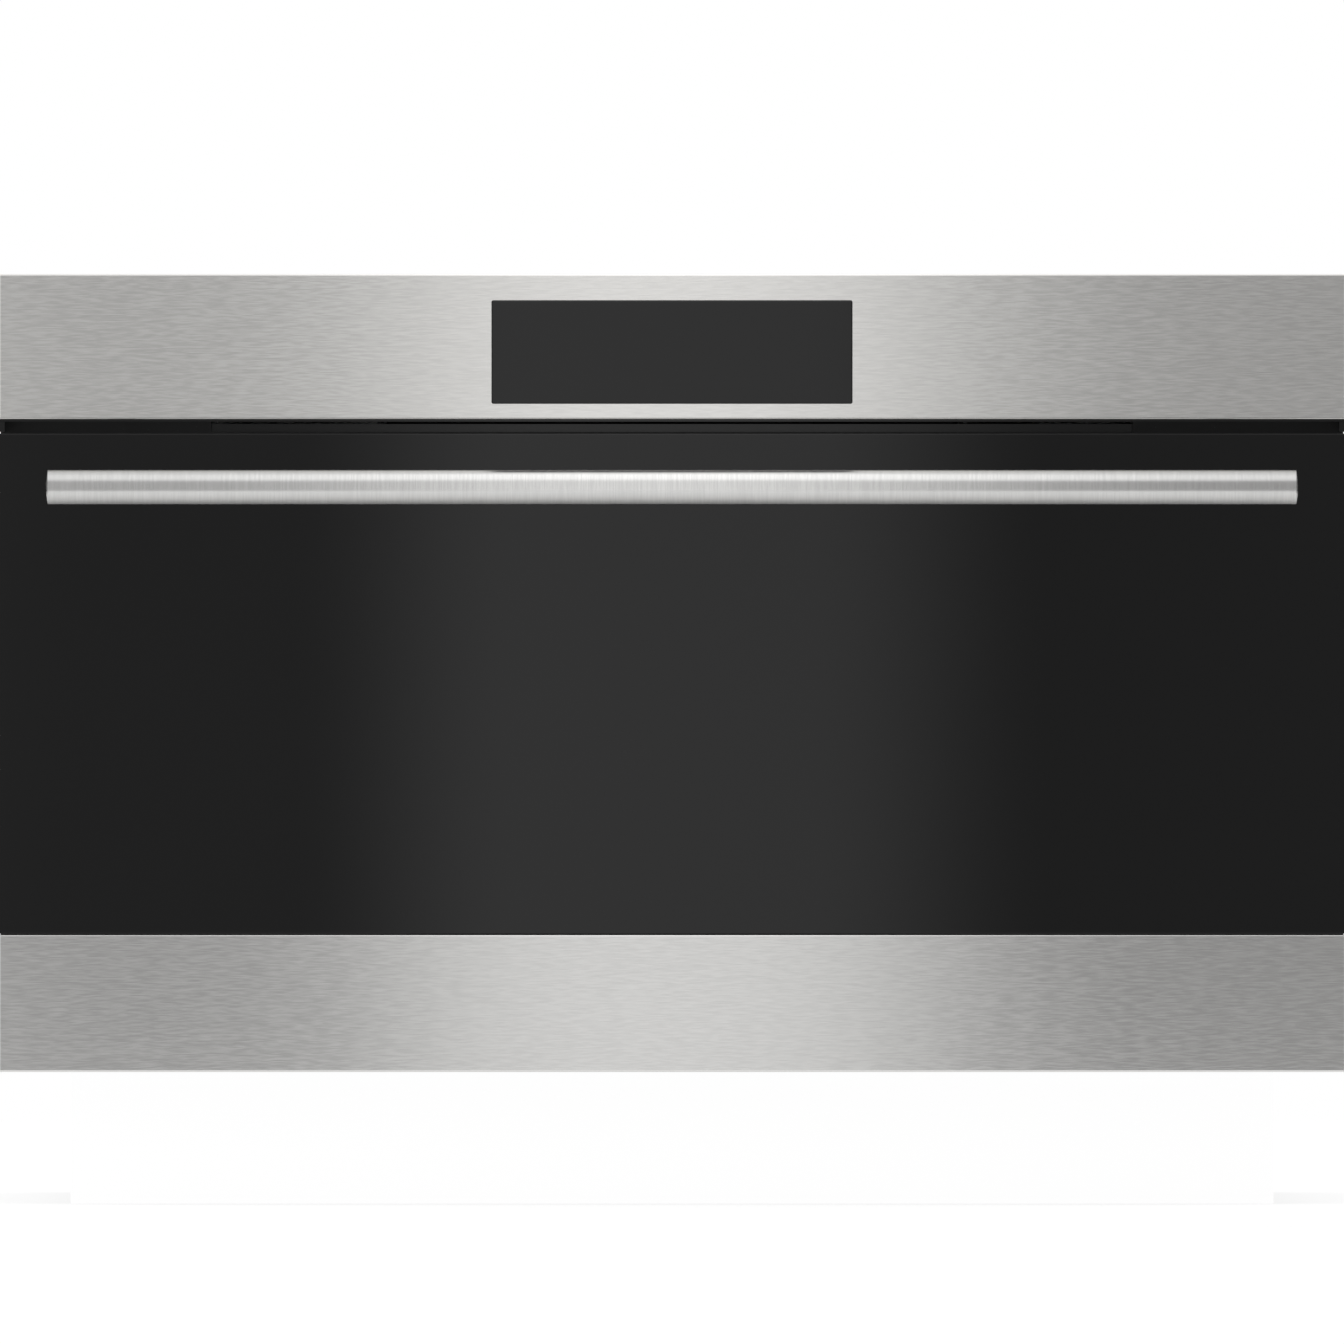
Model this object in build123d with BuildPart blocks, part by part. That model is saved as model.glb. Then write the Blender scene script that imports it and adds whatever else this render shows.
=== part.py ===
from build123d import *
import math
import os

# Built-in speed oven with a drop-down door, in millimetres
# X runs to the right seen from the front, Y into the cabinet and Z up
# The origin is on the underside of the base, in the plane of the cabinet's face

os.makedirs("parts", exist_ok=True)

# Front face
face_width = 759.0
fascia_height = 82.0
vent_gap = 8.0
glass_height = 282.0
trim_joint = 0.5
trim_height = 77.5
skin_t = 1.2
bend_radius = 1.0

# Depth of the front, from the cabinet's face forwards
flange_t = 2.0
door_gap = 3.0
door_depth = 21.0
door_glass_t = 4.0

# Display
display_width = 203.0
display_height = 57.8
display_drop = 15.1
display_corner = 0.8
display_glass_t = 3.0
display_proud = 0.3
display_fit = 0.3

# Handle
bar_diameter = 19.3
bar_length = 704.6
bar_drop = 30.3
bar_dome = 1.0
finger_gap = 34.0
post_diameter = 15.0
post_spacing = 620.0

# Chassis
side_reveal = 20.5
top_reveal = 17.0
chassis_width = face_width - 2 * side_reveal
door_height = trim_height + trim_joint + glass_height
chassis_height = door_height + vent_gap + fascia_height - top_reveal
chassis_depth = 545.0
shell_t = 1.5
lip_width = 14.0
side_overlap = 20.0
mount_hole_r = 2.5
mount_overlap = 9.0
mount_low_z = 67.0
mount_drop = 116.0
mount_high_z = chassis_height - mount_drop

# Cavity
side_room = 119.0
top_room = 134.0
rear_room = 104.2
cavity_floor_z = 77.0
cavity_width = chassis_width - 2 * side_room
cavity_height = chassis_height - cavity_floor_z - top_room
cavity_depth = chassis_depth - rear_room
cavity_corner = 10.0
liner_t = 1.2
liner_lip = 5.0
recess_depth = 14.0
recess_fit = 5.0
choke_border = 36.0
choke_border_z = 34.0
pocket_size = 260.0
pocket_depth = 22.8
floor_glass_t = 4.0
floor_glass_margin = 6.0
floor_edge = 1.0
insulation_t = 23.5
soft_fit = 0.3

# Door inside
frame_t = 1.5
frame_fit = 0.5
back_cover_t = 1.2
back_flange = 12.0
bottom_chamfer = 5.0
window_margin_x = 18.0
window_margin_z = 22.5
choke_t = 1.2
choke_depth = 14.0
choke_cover_t = 2.5
choke_slot = 6.0
choke_pitch = 24.0
choke_land = 4.8
inner_glass_t = 3.2
screen_t = 0.6
glass_overlap = 6.0

# Hinge
hinge_y = -13.0
hinge_z = 9.0
hinge_offset = 60.0
hinge_x = cavity_width / 2 + hinge_offset
hinge_pin_r = 2.5
arm_t = 5.0
arm_hub_r = 4.9
arm_half_height = 5.0
arm_length = 75.0
nose_r = 3.0
cam_gap = 0.15
cam_rise_per_radian = 3.2
door_travel = math.radians(90)
turning_room = 3.0
cam_room = 14.0
case_inner = 7.5
case_top_z = 122.0
spring_wire = 1.6
running_gap = 1.0
spring_turns = 10
collar_r = 5.4
running_fit = 0.05

# Latch and interlock
latch_drop = 18.0
latch_x = hinge_x
latch_t = 4.0
latch_height = 10.0
latch_reach = 22.0
latch_slot_fit = 2.5
button_r = 1.8
button_travel = 3.0

# Screws
screw_r = 1.9
screw_head_r = 4.0
screw_head_h = 2.0
screw_length = 12.0
small_screw_r = 1.5
small_head_r = 3.5
small_head_h = 1.4

# Hot-air fan
fan_chamber_depth = 34.0
fan_chamber_rim = 3.0
fan_chamber_half = cavity_height / 2 - fan_chamber_rim
fan_chamber_half_x = 125.0
ring_rim = 18.0
ring_radius = fan_chamber_half - ring_rim
fan_ring_gap = 20.0
fan_wheel_r = ring_radius - fan_ring_gap
fan_blades = 14
fan_blade_depth = 20.0
shaft_r = 3.0
element_r = 3.3
vent_hole_r = 3.0
vent_hole_pitch = 12.0
vent_rings = 4
vent_ring_step = 6

# Microwave parts
stirrer_y = 235.0
inverter_setback = 48.0
stirrer_r = 105.0
waveguide_height = 30.0
waveguide_width = 84.0
waveguide_t = 1.2
magnetron_inset = 49.0
magnetron_x = chassis_width / 2 - magnetron_inset
magnetron_width = 84.0
antenna_r = 8.0
waveguide_setback = 4.0
antenna_length = 20.0

# Cooling air
duct_overhang = 22.0
duct_half = cavity_width / 2 + duct_overhang
duct_t = 1.0
duct_height = 20.4
blower_setback = 107.5
blower_drop = 58.0
blower_y = chassis_depth - blower_setback
blower_z = chassis_height - blower_drop
blower_r = 28.0
blower_half_length = 168.0
blower_blades = 24

# Heights of the front face
trim_z0 = 0.0
trim_z1 = trim_z0 + trim_height
glass_z0 = trim_z1 + trim_joint
glass_z1 = glass_z0 + glass_height
fascia_z0 = glass_z1 + vent_gap
fascia_z1 = fascia_z0 + fascia_height
half_face = face_width / 2

# Depths of the front
flange_y = -flange_t
door_back = flange_y - door_gap
skin_y = door_back - door_depth
glass_back = skin_y + door_glass_t
bar_y = skin_y - finger_gap - bar_diameter / 2
bar_z = glass_z1 - bar_drop
latch_z = glass_z1 - latch_drop

# Chassis planes
half_chassis = chassis_width / 2
inner_x = half_chassis - shell_t
side_z1 = chassis_height - shell_t
rear_y = chassis_depth - shell_t
half_flange = half_chassis + side_overlap
flange_z1 = fascia_z1 - flange_t
mount_x = half_chassis + mount_overlap

# Cavity planes
half_cavity = cavity_width / 2
cavity_top = cavity_floor_z + cavity_height
cavity_mid = (cavity_floor_z + cavity_top) / 2
liner_y0 = recess_depth
liner_y1 = liner_y0 + liner_t + cavity_depth
plug_x = half_cavity + choke_border
plug_z0 = cavity_floor_z - choke_border_z
plug_z1 = cavity_top + choke_border_z
recess_x = plug_x + recess_fit
recess_z0 = plug_z0 - recess_fit
recess_z1 = plug_z1 + recess_fit
liner_x = half_cavity + liner_t
liner_top = cavity_top + liner_t
blanket_x = liner_x + soft_fit + insulation_t
blanket_top = liner_top + soft_fit + insulation_t
blanket_back = liner_y1 + liner_t + soft_fit + insulation_t
window_x = half_cavity - window_margin_x
window_z0 = cavity_floor_z + window_margin_z
window_z1 = cavity_top - window_margin_z

# Door planes
frame_x = half_face - skin_t - frame_fit
frame_z0 = trim_z0 + skin_t + frame_fit / 2
frame_z1 = glass_z1 - skin_t
cover_y = door_back - back_cover_t
frame_inner_y = glass_back + frame_t
choke_back = door_back + choke_depth
plug_back = choke_back + choke_cover_t

# Pocket, waveguide and base under the cavity
pocket_z = cavity_floor_z - pocket_depth
waveguide_z1 = pocket_z - liner_t
waveguide_z0 = waveguide_z1 - waveguide_height
half_pocket = pocket_size / 2


def front_plane(y):
    """The plane across the oven at depth y; a positive extrusion comes forwards."""
    return Plane.XZ.offset(-y)


def side_plane(x):
    """The plane from front to back at x; a positive extrusion goes to the right."""
    return Plane.YZ.offset(x)


def rect(a0, a1, b0, b1, mode=Mode.ADD):
    """A rectangle between two corners, drawn in the open sketch."""
    with Locations(((a0 + a1) / 2, (b0 + b1) / 2)):
        Rectangle(a1 - a0, b1 - b0, mode=mode)


def block(x0, x1, y0, y1, z0, z1, mode=Mode.ADD):
    """A box between two corners, in the open part."""
    with Locations(((x0 + x1) / 2, (y0 + y1) / 2, (z0 + z1) / 2)):
        Box(x1 - x0, y1 - y0, z1 - z0, mode=mode)


def rod_x(y, z, x0, x1, radius, mode=Mode.ADD):
    """A cylinder along X, in the open part."""
    with Locations(Location(((x0 + x1) / 2, y, z), (0, 90, 0))):
        Cylinder(radius, x1 - x0, mode=mode)


def rod_y(x, z, y0, y1, radius, mode=Mode.ADD):
    """A cylinder along Y, in the open part."""
    with Locations(Location((x, (y0 + y1) / 2, z), (90, 0, 0))):
        Cylinder(radius, y1 - y0, mode=mode)


def rod_z(x, y, z0, z1, radius, mode=Mode.ADD):
    """A cylinder along Z, in the open part."""
    with Locations((x, y, (z0 + z1) / 2)):
        Cylinder(radius, z1 - z0, mode=mode)


# Fascia: a folded cover, open at the back, with the window of the display
display_z1 = fascia_z1 - display_drop
display_z0 = display_z1 - display_height
display_z = (display_z0 + display_z1) / 2

with BuildPart() as fascia:
    with BuildSketch(front_plane(flange_y)):
        rect(-half_face, half_face, fascia_z0, fascia_z1)
    extrude(amount=flange_y - skin_y)
    fillet(fascia.faces().sort_by(Axis.Y)[0].edges(), radius=bend_radius)
    with BuildSketch(front_plane(flange_y)):
        rect(-half_face + skin_t, half_face - skin_t, fascia_z0 + skin_t, fascia_z1 - skin_t)
    extrude(amount=flange_y - skin_y - skin_t, mode=Mode.SUBTRACT)
    with BuildSketch(front_plane(skin_y + skin_t)):
        with Locations((0, display_z)):
            RectangleRounded(
                display_width + 2 * display_fit,
                display_height + 2 * display_fit,
                display_corner + display_fit,
            )
    extrude(amount=skin_t, mode=Mode.SUBTRACT)
fascia.part.label = "fascia"
export_step(fascia.part, "parts/fascia.step")

# Display glass: black touch glass that stands a little proud of the steel
display_front = skin_y - display_proud
display_back = display_front + display_glass_t

with BuildPart() as display_glass:
    with BuildSketch(front_plane(display_back)):
        with Locations((0, display_z)):
            RectangleRounded(display_width, display_height, display_corner)
    extrude(amount=display_glass_t)
    fillet(display_glass.faces().sort_by(Axis.Y)[0].edges(), radius=display_fit)
display_glass.part.label = "display_glass"
export_step(display_glass.part, "parts/display_glass.step")

# Display module: the panel behind the glass, with standoffs for the control board
module_border = 6.0
module_depth = 12.0
standoff_r = 3.0
standoff_h = 2.0
module_front = skin_y + skin_t
module_back = module_front + module_depth
board_front = module_back + standoff_h
standoff_dx = display_width / 2 - standoff_r
standoff_dz = display_height / 2 - standoff_r

with BuildPart() as display_module:
    with BuildSketch(front_plane(module_back)):
        with Locations((0, display_z)):
            Rectangle(display_width + 2 * module_border, display_height + 2 * module_border)
    extrude(amount=module_depth)
    with BuildSketch(front_plane(display_back)):
        with Locations((0, display_z)):
            Rectangle(display_width + 2 * display_fit, display_height + 2 * display_fit)
    extrude(amount=display_back - module_front, mode=Mode.SUBTRACT)
    with BuildSketch(front_plane(board_front)):
        with Locations((0, display_z)):
            with GridLocations(2 * standoff_dx, 2 * standoff_dz, 2, 2):
                Circle(standoff_r)
    extrude(amount=standoff_h)
display_module.part.label = "display_module"
export_step(display_module.part, "parts/display_module.step")

# Control board: circuit board with its chips and a row of connectors
board_t = 1.6
chip_h = 2.5
chip_size = 14.0
chip_pitch = 36.0
chip_count = 5
connector_count = 3
connector_h = 5.0

with BuildPart() as control_board:
    with BuildSketch(front_plane(board_front + board_t)):
        with Locations((0, display_z)):
            Rectangle(display_width + 2 * module_border, display_height)
    extrude(amount=board_t)
    with BuildSketch(front_plane(board_front + board_t + chip_h)):
        with Locations((0, display_z)):
            with GridLocations(chip_pitch, 1, chip_count, 1):
                Rectangle(chip_size, chip_size)
    extrude(amount=chip_h)
    with BuildSketch(front_plane(board_front + board_t + connector_h)):
        with Locations((0, display_z - display_height / 2 + connector_h)):
            with GridLocations(chip_pitch, 1, connector_count, 1):
                Rectangle(chip_size, connector_h)
    extrude(amount=connector_h)
control_board.part.label = "control_board"
export_step(control_board.part, "parts/control_board.step")

# Air outlet trim: black blade over the vent gap, a cap at each end, and a baffle in the duct's mouth
outlet_t = 1.2
cheek_t = 3.2
cheek_fit = 0.1
outlet_setback = 1.0
outlet_door_gap = 1.0
baffle_y = 6.0
baffle_t = 1.0

with BuildPart() as air_outlet_trim:
    block(-half_face, half_face, skin_y + outlet_setback, flange_y, fascia_z0 - outlet_t, fascia_z0)
    for cheek_x in (-half_face + cheek_t / 2, half_face - cheek_t / 2):
        block(
            cheek_x - cheek_t / 2,
            cheek_x + cheek_t / 2,
            skin_y + outlet_setback,
            flange_y,
            glass_z1 + outlet_door_gap,
            fascia_z0 - outlet_t - cheek_fit,
        )
    block(
        -duct_half + 2 * duct_t,
        duct_half - 2 * duct_t,
        baffle_y,
        baffle_y + baffle_t,
        glass_z1 + cheek_fit,
        fascia_z0 - 2 * outlet_t,
    )
air_outlet_trim.part.label = "air_outlet_trim"
export_step(air_outlet_trim.part, "parts/air_outlet_trim.step")

# Door glass: black outer pane across the whole width
glass_edge = 0.4
post_x = post_spacing / 2
post_screw_r = 2.5
screw_clearance = 0.3

with BuildPart() as door_glass:
    with BuildSketch(front_plane(glass_back)):
        rect(-half_face, half_face, glass_z0, glass_z1)
        with Locations((-post_x, bar_z), (post_x, bar_z)):
            Circle(post_screw_r + screw_clearance, mode=Mode.SUBTRACT)
    extrude(amount=door_glass_t)
    front_edges = door_glass.faces().sort_by(Axis.Y)[0].outer_wire().edges()
    fillet(front_edges, radius=glass_edge)
door_glass.part.label = "door_glass"
export_step(door_glass.part, "parts/door_glass.step")

# Notch in the door's foot that leaves the fixed hinge arm room to turn
notch_half = 6.5
notch_top = hinge_z + arm_half_height + turning_room
notch_front = hinge_y - arm_half_height - running_gap


def cut_hinge_notches(back):
    """Cuts the room of both hinge arms from the open part, up to depth back."""
    for x in (-hinge_x, hinge_x):
        block(
            x - notch_half,
            x + notch_half,
            notch_front,
            back,
            0,
            notch_top,
            mode=Mode.SUBTRACT,
        )


# Door trim: steel strip folded round the foot of the door
trim_back = hinge_y + 1.0

with BuildPart() as door_trim:
    with BuildSketch(front_plane(trim_back)):
        rect(-half_face, half_face, trim_z0, trim_z1)
    extrude(amount=trim_back - skin_y)
    fillet(door_trim.faces().sort_by(Axis.Y)[0].edges(), radius=bend_radius)
    block(
        -half_face + skin_t,
        half_face - skin_t,
        skin_y + skin_t,
        trim_back,
        trim_z0 + skin_t,
        trim_z1 - skin_t,
        mode=Mode.SUBTRACT,
    )
    block(
        -half_face + skin_t,
        half_face - skin_t,
        glass_back,
        trim_back,
        trim_z0 + skin_t,
        trim_z1,
        mode=Mode.SUBTRACT,
    )
    cut_hinge_notches(trim_back)
door_trim.part.label = "door_trim"
export_step(door_trim.part, "parts/door_trim.step")

# Door frame: folded tray that carries the glass, the trim and the hinges
cam_window_top = hinge_z + cam_room
cam_window_half = 9.5

with BuildPart() as door_frame:
    block(-frame_x, frame_x, glass_back, cover_y, frame_z0, frame_z1)
    foot_edge = door_frame.edges().filter_by(Axis.X).group_by(Axis.Z)[0].sort_by(Axis.Y)[-1]
    chamfer(foot_edge, length=bottom_chamfer)
    with BuildSketch(side_plane(-frame_x + frame_t)):
        with BuildLine():
            Polyline(
                (frame_inner_y, frame_z0 + frame_t),
                (cover_y - bottom_chamfer - frame_t / 2, frame_z0 + frame_t),
                (cover_y - frame_t, frame_z0 + bottom_chamfer + frame_t / 2),
                (cover_y - frame_t, frame_z1 - frame_t),
                (frame_inner_y, frame_z1 - frame_t),
                close=True,
            )
        make_face()
    extrude(amount=2 * (frame_x - frame_t), mode=Mode.SUBTRACT)
    with BuildSketch(front_plane(cover_y)):
        rect(
            -frame_x + back_flange,
            frame_x - back_flange,
            frame_z0 + bottom_chamfer + back_flange,
            frame_z1 - back_flange,
        )
    extrude(amount=frame_t, mode=Mode.SUBTRACT)
    with BuildSketch(front_plane(frame_inner_y)):
        rect(-window_x, window_x, window_z0, window_z1)
        with Locations((-post_x, bar_z), (post_x, bar_z)):
            Circle(post_screw_r + screw_clearance)
        for x in (-hinge_x, hinge_x):
            rect(x - cam_window_half, x + cam_window_half, frame_z0 + frame_t, cam_window_top)
    extrude(amount=frame_t, mode=Mode.SUBTRACT)
    cut_hinge_notches(cover_y)
    with BuildSketch(front_plane(cover_y)):
        for x in (-frame_x + back_flange / 2, frame_x - back_flange / 2):
            with Locations((x, cavity_floor_z), (x, cavity_mid), (x, cavity_top)):
                Circle(small_screw_r + running_fit)
    extrude(amount=frame_t, mode=Mode.SUBTRACT)
door_frame.part.label = "door_frame"
export_step(door_frame.part, "parts/door_frame.step")

# Door back cover: closes the frame, with the window and the slots of the latch hooks
cover_z0 = frame_z0 + bottom_chamfer + frame_t / 2
hook_z0 = latch_z - latch_height / 2
hook_z1 = latch_z + latch_height / 2
door_screw_x = frame_x - back_flange / 2
door_screw_zs = (cavity_floor_z, cavity_mid, cavity_top)

with BuildPart() as door_back_cover:
    with BuildSketch(front_plane(door_back)):
        rect(-frame_x, frame_x, cover_z0, frame_z1)
        rect(-window_x, window_x, window_z0, window_z1, mode=Mode.SUBTRACT)
        for x in (-door_screw_x, door_screw_x):
            with Locations(*[(x, z) for z in door_screw_zs]):
                Circle(small_screw_r + running_fit, mode=Mode.SUBTRACT)
    extrude(amount=back_cover_t)
    cut_hinge_notches(door_back)
door_back_cover.part.label = "door_back_cover"
export_step(door_back_cover.part, "parts/door_back_cover.step")

# Door screws: hold the back cover on the frame's flange
with BuildPart() as door_screws:
    for x in (-door_screw_x, door_screw_x):
        for z in door_screw_zs:
            rod_y(x, z, door_back, door_back + small_head_h, small_head_r)
            rod_y(x, z, cover_y - 2 * frame_t, door_back, small_screw_r)
door_screws.part.label = "door_screws"
export_step(door_screws.part, "parts/door_screws.step")

# Choke frame: slotted microwave trap round the window, on the oven side of the door
choke_inner_x = window_x + glass_overlap
choke_inner_z0 = window_z0 - glass_overlap
choke_inner_z1 = window_z1 + glass_overlap
choke_plate_y = door_back + choke_t
choke_slot_depth = choke_depth - choke_land
slots_wide = int(2 * (plug_x - choke_pitch) / choke_pitch)
slots_high = int((plug_z1 - plug_z0 - choke_pitch) / choke_pitch)

with BuildPart() as choke_frame:
    with BuildSketch(front_plane(choke_plate_y)):
        rect(-plug_x, plug_x, plug_z0, plug_z1)
        rect(-window_x, window_x, window_z0, window_z1, mode=Mode.SUBTRACT)
    extrude(amount=choke_t)
    with BuildSketch(front_plane(choke_back)):
        rect(-plug_x, plug_x, plug_z0, plug_z1)
        rect(
            -plug_x + choke_t,
            plug_x - choke_t,
            plug_z0 + choke_t,
            plug_z1 - choke_t,
            mode=Mode.SUBTRACT,
        )
        rect(
            -choke_inner_x - choke_t,
            choke_inner_x + choke_t,
            choke_inner_z0 - choke_t,
            choke_inner_z1 + choke_t,
        )
        rect(-choke_inner_x, choke_inner_x, choke_inner_z0, choke_inner_z1, mode=Mode.SUBTRACT)
    extrude(amount=choke_depth - choke_t)
    with BuildSketch(Plane.XY.offset(plug_z0)):
        with Locations((0, choke_back - choke_slot_depth / 2)):
            with GridLocations(choke_pitch, 1, slots_wide, 1):
                Rectangle(choke_slot, choke_slot_depth)
    extrude(amount=choke_t, mode=Mode.SUBTRACT)
    with BuildSketch(Plane.XY.offset(plug_z1 - choke_t)):
        with Locations((0, choke_back - choke_slot_depth / 2)):
            with GridLocations(choke_pitch, 1, slots_wide, 1):
                Rectangle(choke_slot, choke_slot_depth)
    extrude(amount=choke_t, mode=Mode.SUBTRACT)
    for x in (-plug_x, plug_x - choke_t):
        with BuildSketch(side_plane(x)):
            with Locations((choke_back - choke_slot_depth / 2, cavity_mid)):
                with GridLocations(1, choke_pitch, 1, slots_high):
                    Rectangle(choke_slot_depth, choke_slot)
        extrude(amount=choke_t, mode=Mode.SUBTRACT)
choke_frame.part.label = "choke_frame"
export_step(choke_frame.part, "parts/choke_frame.step")

# Choke cover: black plastic frame over the choke, which also holds the inner glass
cover_edge = 1.0

with BuildPart() as choke_cover:
    with BuildSketch(front_plane(plug_back)):
        rect(-plug_x, plug_x, plug_z0, plug_z1)
    extrude(amount=choke_cover_t)
    fillet(choke_cover.faces().sort_by(Axis.Y)[-1].edges(), radius=cover_edge)
    with BuildSketch(front_plane(plug_back)):
        rect(-window_x, window_x, window_z0, window_z1)
    extrude(amount=choke_cover_t, mode=Mode.SUBTRACT)
choke_cover.part.label = "choke_cover"
export_step(choke_cover.part, "parts/choke_cover.step")

# Door screen: metal screen that keeps the microwaves in
with BuildPart() as door_screen:
    with BuildSketch(front_plane(choke_plate_y + screen_t)):
        rect(
            -choke_inner_x + soft_fit,
            choke_inner_x - soft_fit,
            choke_inner_z0 + soft_fit,
            choke_inner_z1 - soft_fit,
        )
    extrude(amount=screen_t)
door_screen.part.label = "door_screen"
export_step(door_screen.part, "parts/door_screen.step")

# Door inner glass: the pane that closes the window on the oven side
with BuildPart() as door_inner_glass:
    with BuildSketch(front_plane(choke_back)):
        rect(
            -choke_inner_x + soft_fit,
            choke_inner_x - soft_fit,
            choke_inner_z0 + soft_fit,
            choke_inner_z1 - soft_fit,
        )
    extrude(amount=inner_glass_t)
door_inner_glass.part.label = "door_inner_glass"
export_step(door_inner_glass.part, "parts/door_inner_glass.step")

# Handle bar: round bar with slightly domed ends
half_bar = bar_length / 2
bar_r = bar_diameter / 2

dome_r = (bar_r**2 + bar_dome**2) / (2 * bar_dome)
dome_angle = math.degrees(math.asin(bar_r / dome_r))

with BuildPart() as handle_bar:
    with BuildSketch(Plane.XY):
        with BuildLine():
            CenterArc((half_bar - dome_r, 0), dome_r, 0, dome_angle)
            CenterArc((dome_r - half_bar, 0), dome_r, 180 - dome_angle, dome_angle)
            Line((bar_dome - half_bar, bar_r), (half_bar - bar_dome, bar_r))
            Line((-half_bar, 0), (half_bar, 0))
        make_face()
    revolve(axis=Axis.X)
handle_bar.part.locate(Location((0, bar_y, bar_z)))
handle_bar.part.label = "handle_bar"
export_step(handle_bar.part, "parts/handle_bar.step")

# Handle posts: carry the bar, shaped to it at the front and seated on the glass
screw_tip_y = skin_y - finger_gap / 2

with BuildPart() as handle_posts:
    for x in (-post_x, post_x):
        rod_y(x, bar_z, bar_y, skin_y, post_diameter / 2)
        rod_y(x, bar_z, screw_tip_y, skin_y, post_screw_r + running_fit, mode=Mode.SUBTRACT)
    rod_x(bar_y, bar_z, -half_bar, half_bar, bar_r + running_fit, mode=Mode.SUBTRACT)
handle_posts.part.label = "handle_posts"
export_step(handle_posts.part, "parts/handle_posts.step")

# Handle screws: run from inside the frame through the glass into the posts
with BuildPart() as handle_screws:
    for x in (-post_x, post_x):
        rod_y(x, bar_z, screw_tip_y + running_gap, frame_inner_y, post_screw_r)
        rod_y(x, bar_z, frame_inner_y, frame_inner_y + screw_head_h, 2 * post_screw_r)
handle_screws.part.label = "handle_screws"
export_step(handle_screws.part, "parts/handle_screws.step")

# Hinge cases: channels in the door that hold pin, plunger and spring
case_wall = 1.5
case_back = cover_y - frame_t - running_gap
guide_h = 4.0
guide_z = cam_window_top
seat_h = 6.0
seat_drop = 15.0
seat_z = case_top_z - seat_drop
case_z0 = frame_z0 + frame_t + running_gap
case_foot = cover_y - bottom_chamfer - 1.5 * frame_t - frame_z0 - frame_fit

with BuildPart() as hinge_cases:
    for x in (-hinge_x, hinge_x):
        with BuildSketch(side_plane(x - case_inner - case_wall)):
            with BuildLine():
                Polyline(
                    (frame_inner_y, case_z0),
                    (case_foot + case_z0, case_z0),
                    (case_back, case_back - case_foot),
                    (case_back, case_top_z),
                    (frame_inner_y, case_top_z),
                    close=True,
                )
            make_face()
        extrude(amount=2 * (case_inner + case_wall))
        block(
            x - case_inner,
            x + case_inner,
            frame_inner_y + case_wall,
            case_back,
            case_z0,
            case_top_z,
            mode=Mode.SUBTRACT,
        )
        block(
            x - case_inner,
            x + case_inner,
            frame_inner_y,
            case_back,
            case_z0,
            cam_window_top,
            mode=Mode.SUBTRACT,
        )
        for z, height in ((guide_z, guide_h), (seat_z, seat_h)):
            block(x - case_inner, x + case_inner, frame_inner_y, case_back, z, z + height)
        rod_z(x, hinge_y, guide_z, case_top_z, nose_r + running_fit, mode=Mode.SUBTRACT)
        rod_x(
            hinge_y,
            hinge_z,
            x - case_inner - case_wall,
            x + case_inner + case_wall,
            hinge_pin_r + running_fit,
            mode=Mode.SUBTRACT,
        )
hinge_cases.part.label = "hinge_cases"
export_step(hinge_cases.part, "parts/hinge_cases.step")

# Hinge pins
with BuildPart() as hinge_pins:
    for x in (-hinge_x, hinge_x):
        pin_half = case_inner + case_wall
        rod_x(hinge_y, hinge_z, x - pin_half, x + pin_half, hinge_pin_r)
hinge_pins.part.label = "hinge_pins"
export_step(hinge_pins.part, "parts/hinge_pins.step")

# Hinge arms: fixed arms whose heads are cams; the follower rises steadily with the door's angle
# Cam angles run from straight up towards the front, as the door's top turns
pitch_r = arm_hub_r + nose_r + cam_gap
cam_steps = 12
receiver_pin_y = 50.0
receiver_pin_r = 2.5
receiver_pin_z = hinge_z - arm_half_height
arm_tip_y = hinge_y + arm_length


def cam_point(angle):
    """A point of the cam's edge, one nose radius and a gap inside the follower's path."""
    radius = pitch_r + cam_rise_per_radian * angle
    slope = math.hypot(radius, cam_rise_per_radian)
    inset = nose_r + cam_gap
    outward = radius - inset * radius / slope
    forward = inset * cam_rise_per_radian / slope
    y = -outward * math.sin(angle) - forward * math.cos(angle)
    z = outward * math.cos(angle) - forward * math.sin(angle)
    return (hinge_y + y, hinge_z + z)


with BuildPart() as hinge_arms:
    for x in (-hinge_x, hinge_x):
        with BuildSketch(side_plane(x - arm_t / 2)):
            with Locations((hinge_y, hinge_z)):
                Circle(arm_hub_r)
            with BuildLine():
                cam = Spline(*[cam_point(door_travel * i / cam_steps) for i in range(cam_steps + 1)])
                Line(cam @ 1, (hinge_y, hinge_z))
                Line((hinge_y, hinge_z), cam @ 0)
            make_face()
            rect(hinge_y, arm_tip_y, hinge_z - arm_half_height, hinge_z + arm_half_height)
            with Locations((receiver_pin_y, receiver_pin_z)):
                Circle(receiver_pin_r + running_fit, mode=Mode.SUBTRACT)
            with Locations((hinge_y, hinge_z)):
                Circle(hinge_pin_r + running_fit, mode=Mode.SUBTRACT)
        extrude(amount=arm_t)
hinge_arms.part.label = "hinge_arms"
export_step(hinge_arms.part, "parts/hinge_arms.step")

# Hinge receivers: channels on the base pan with the cross pin that the arm's notch sits on
receiver_gap = 2.0
receiver_y0 = 2.0
receiver_z1 = hinge_z + 2 * arm_half_height
receiver_inner = arm_t / 2 + receiver_gap

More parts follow.
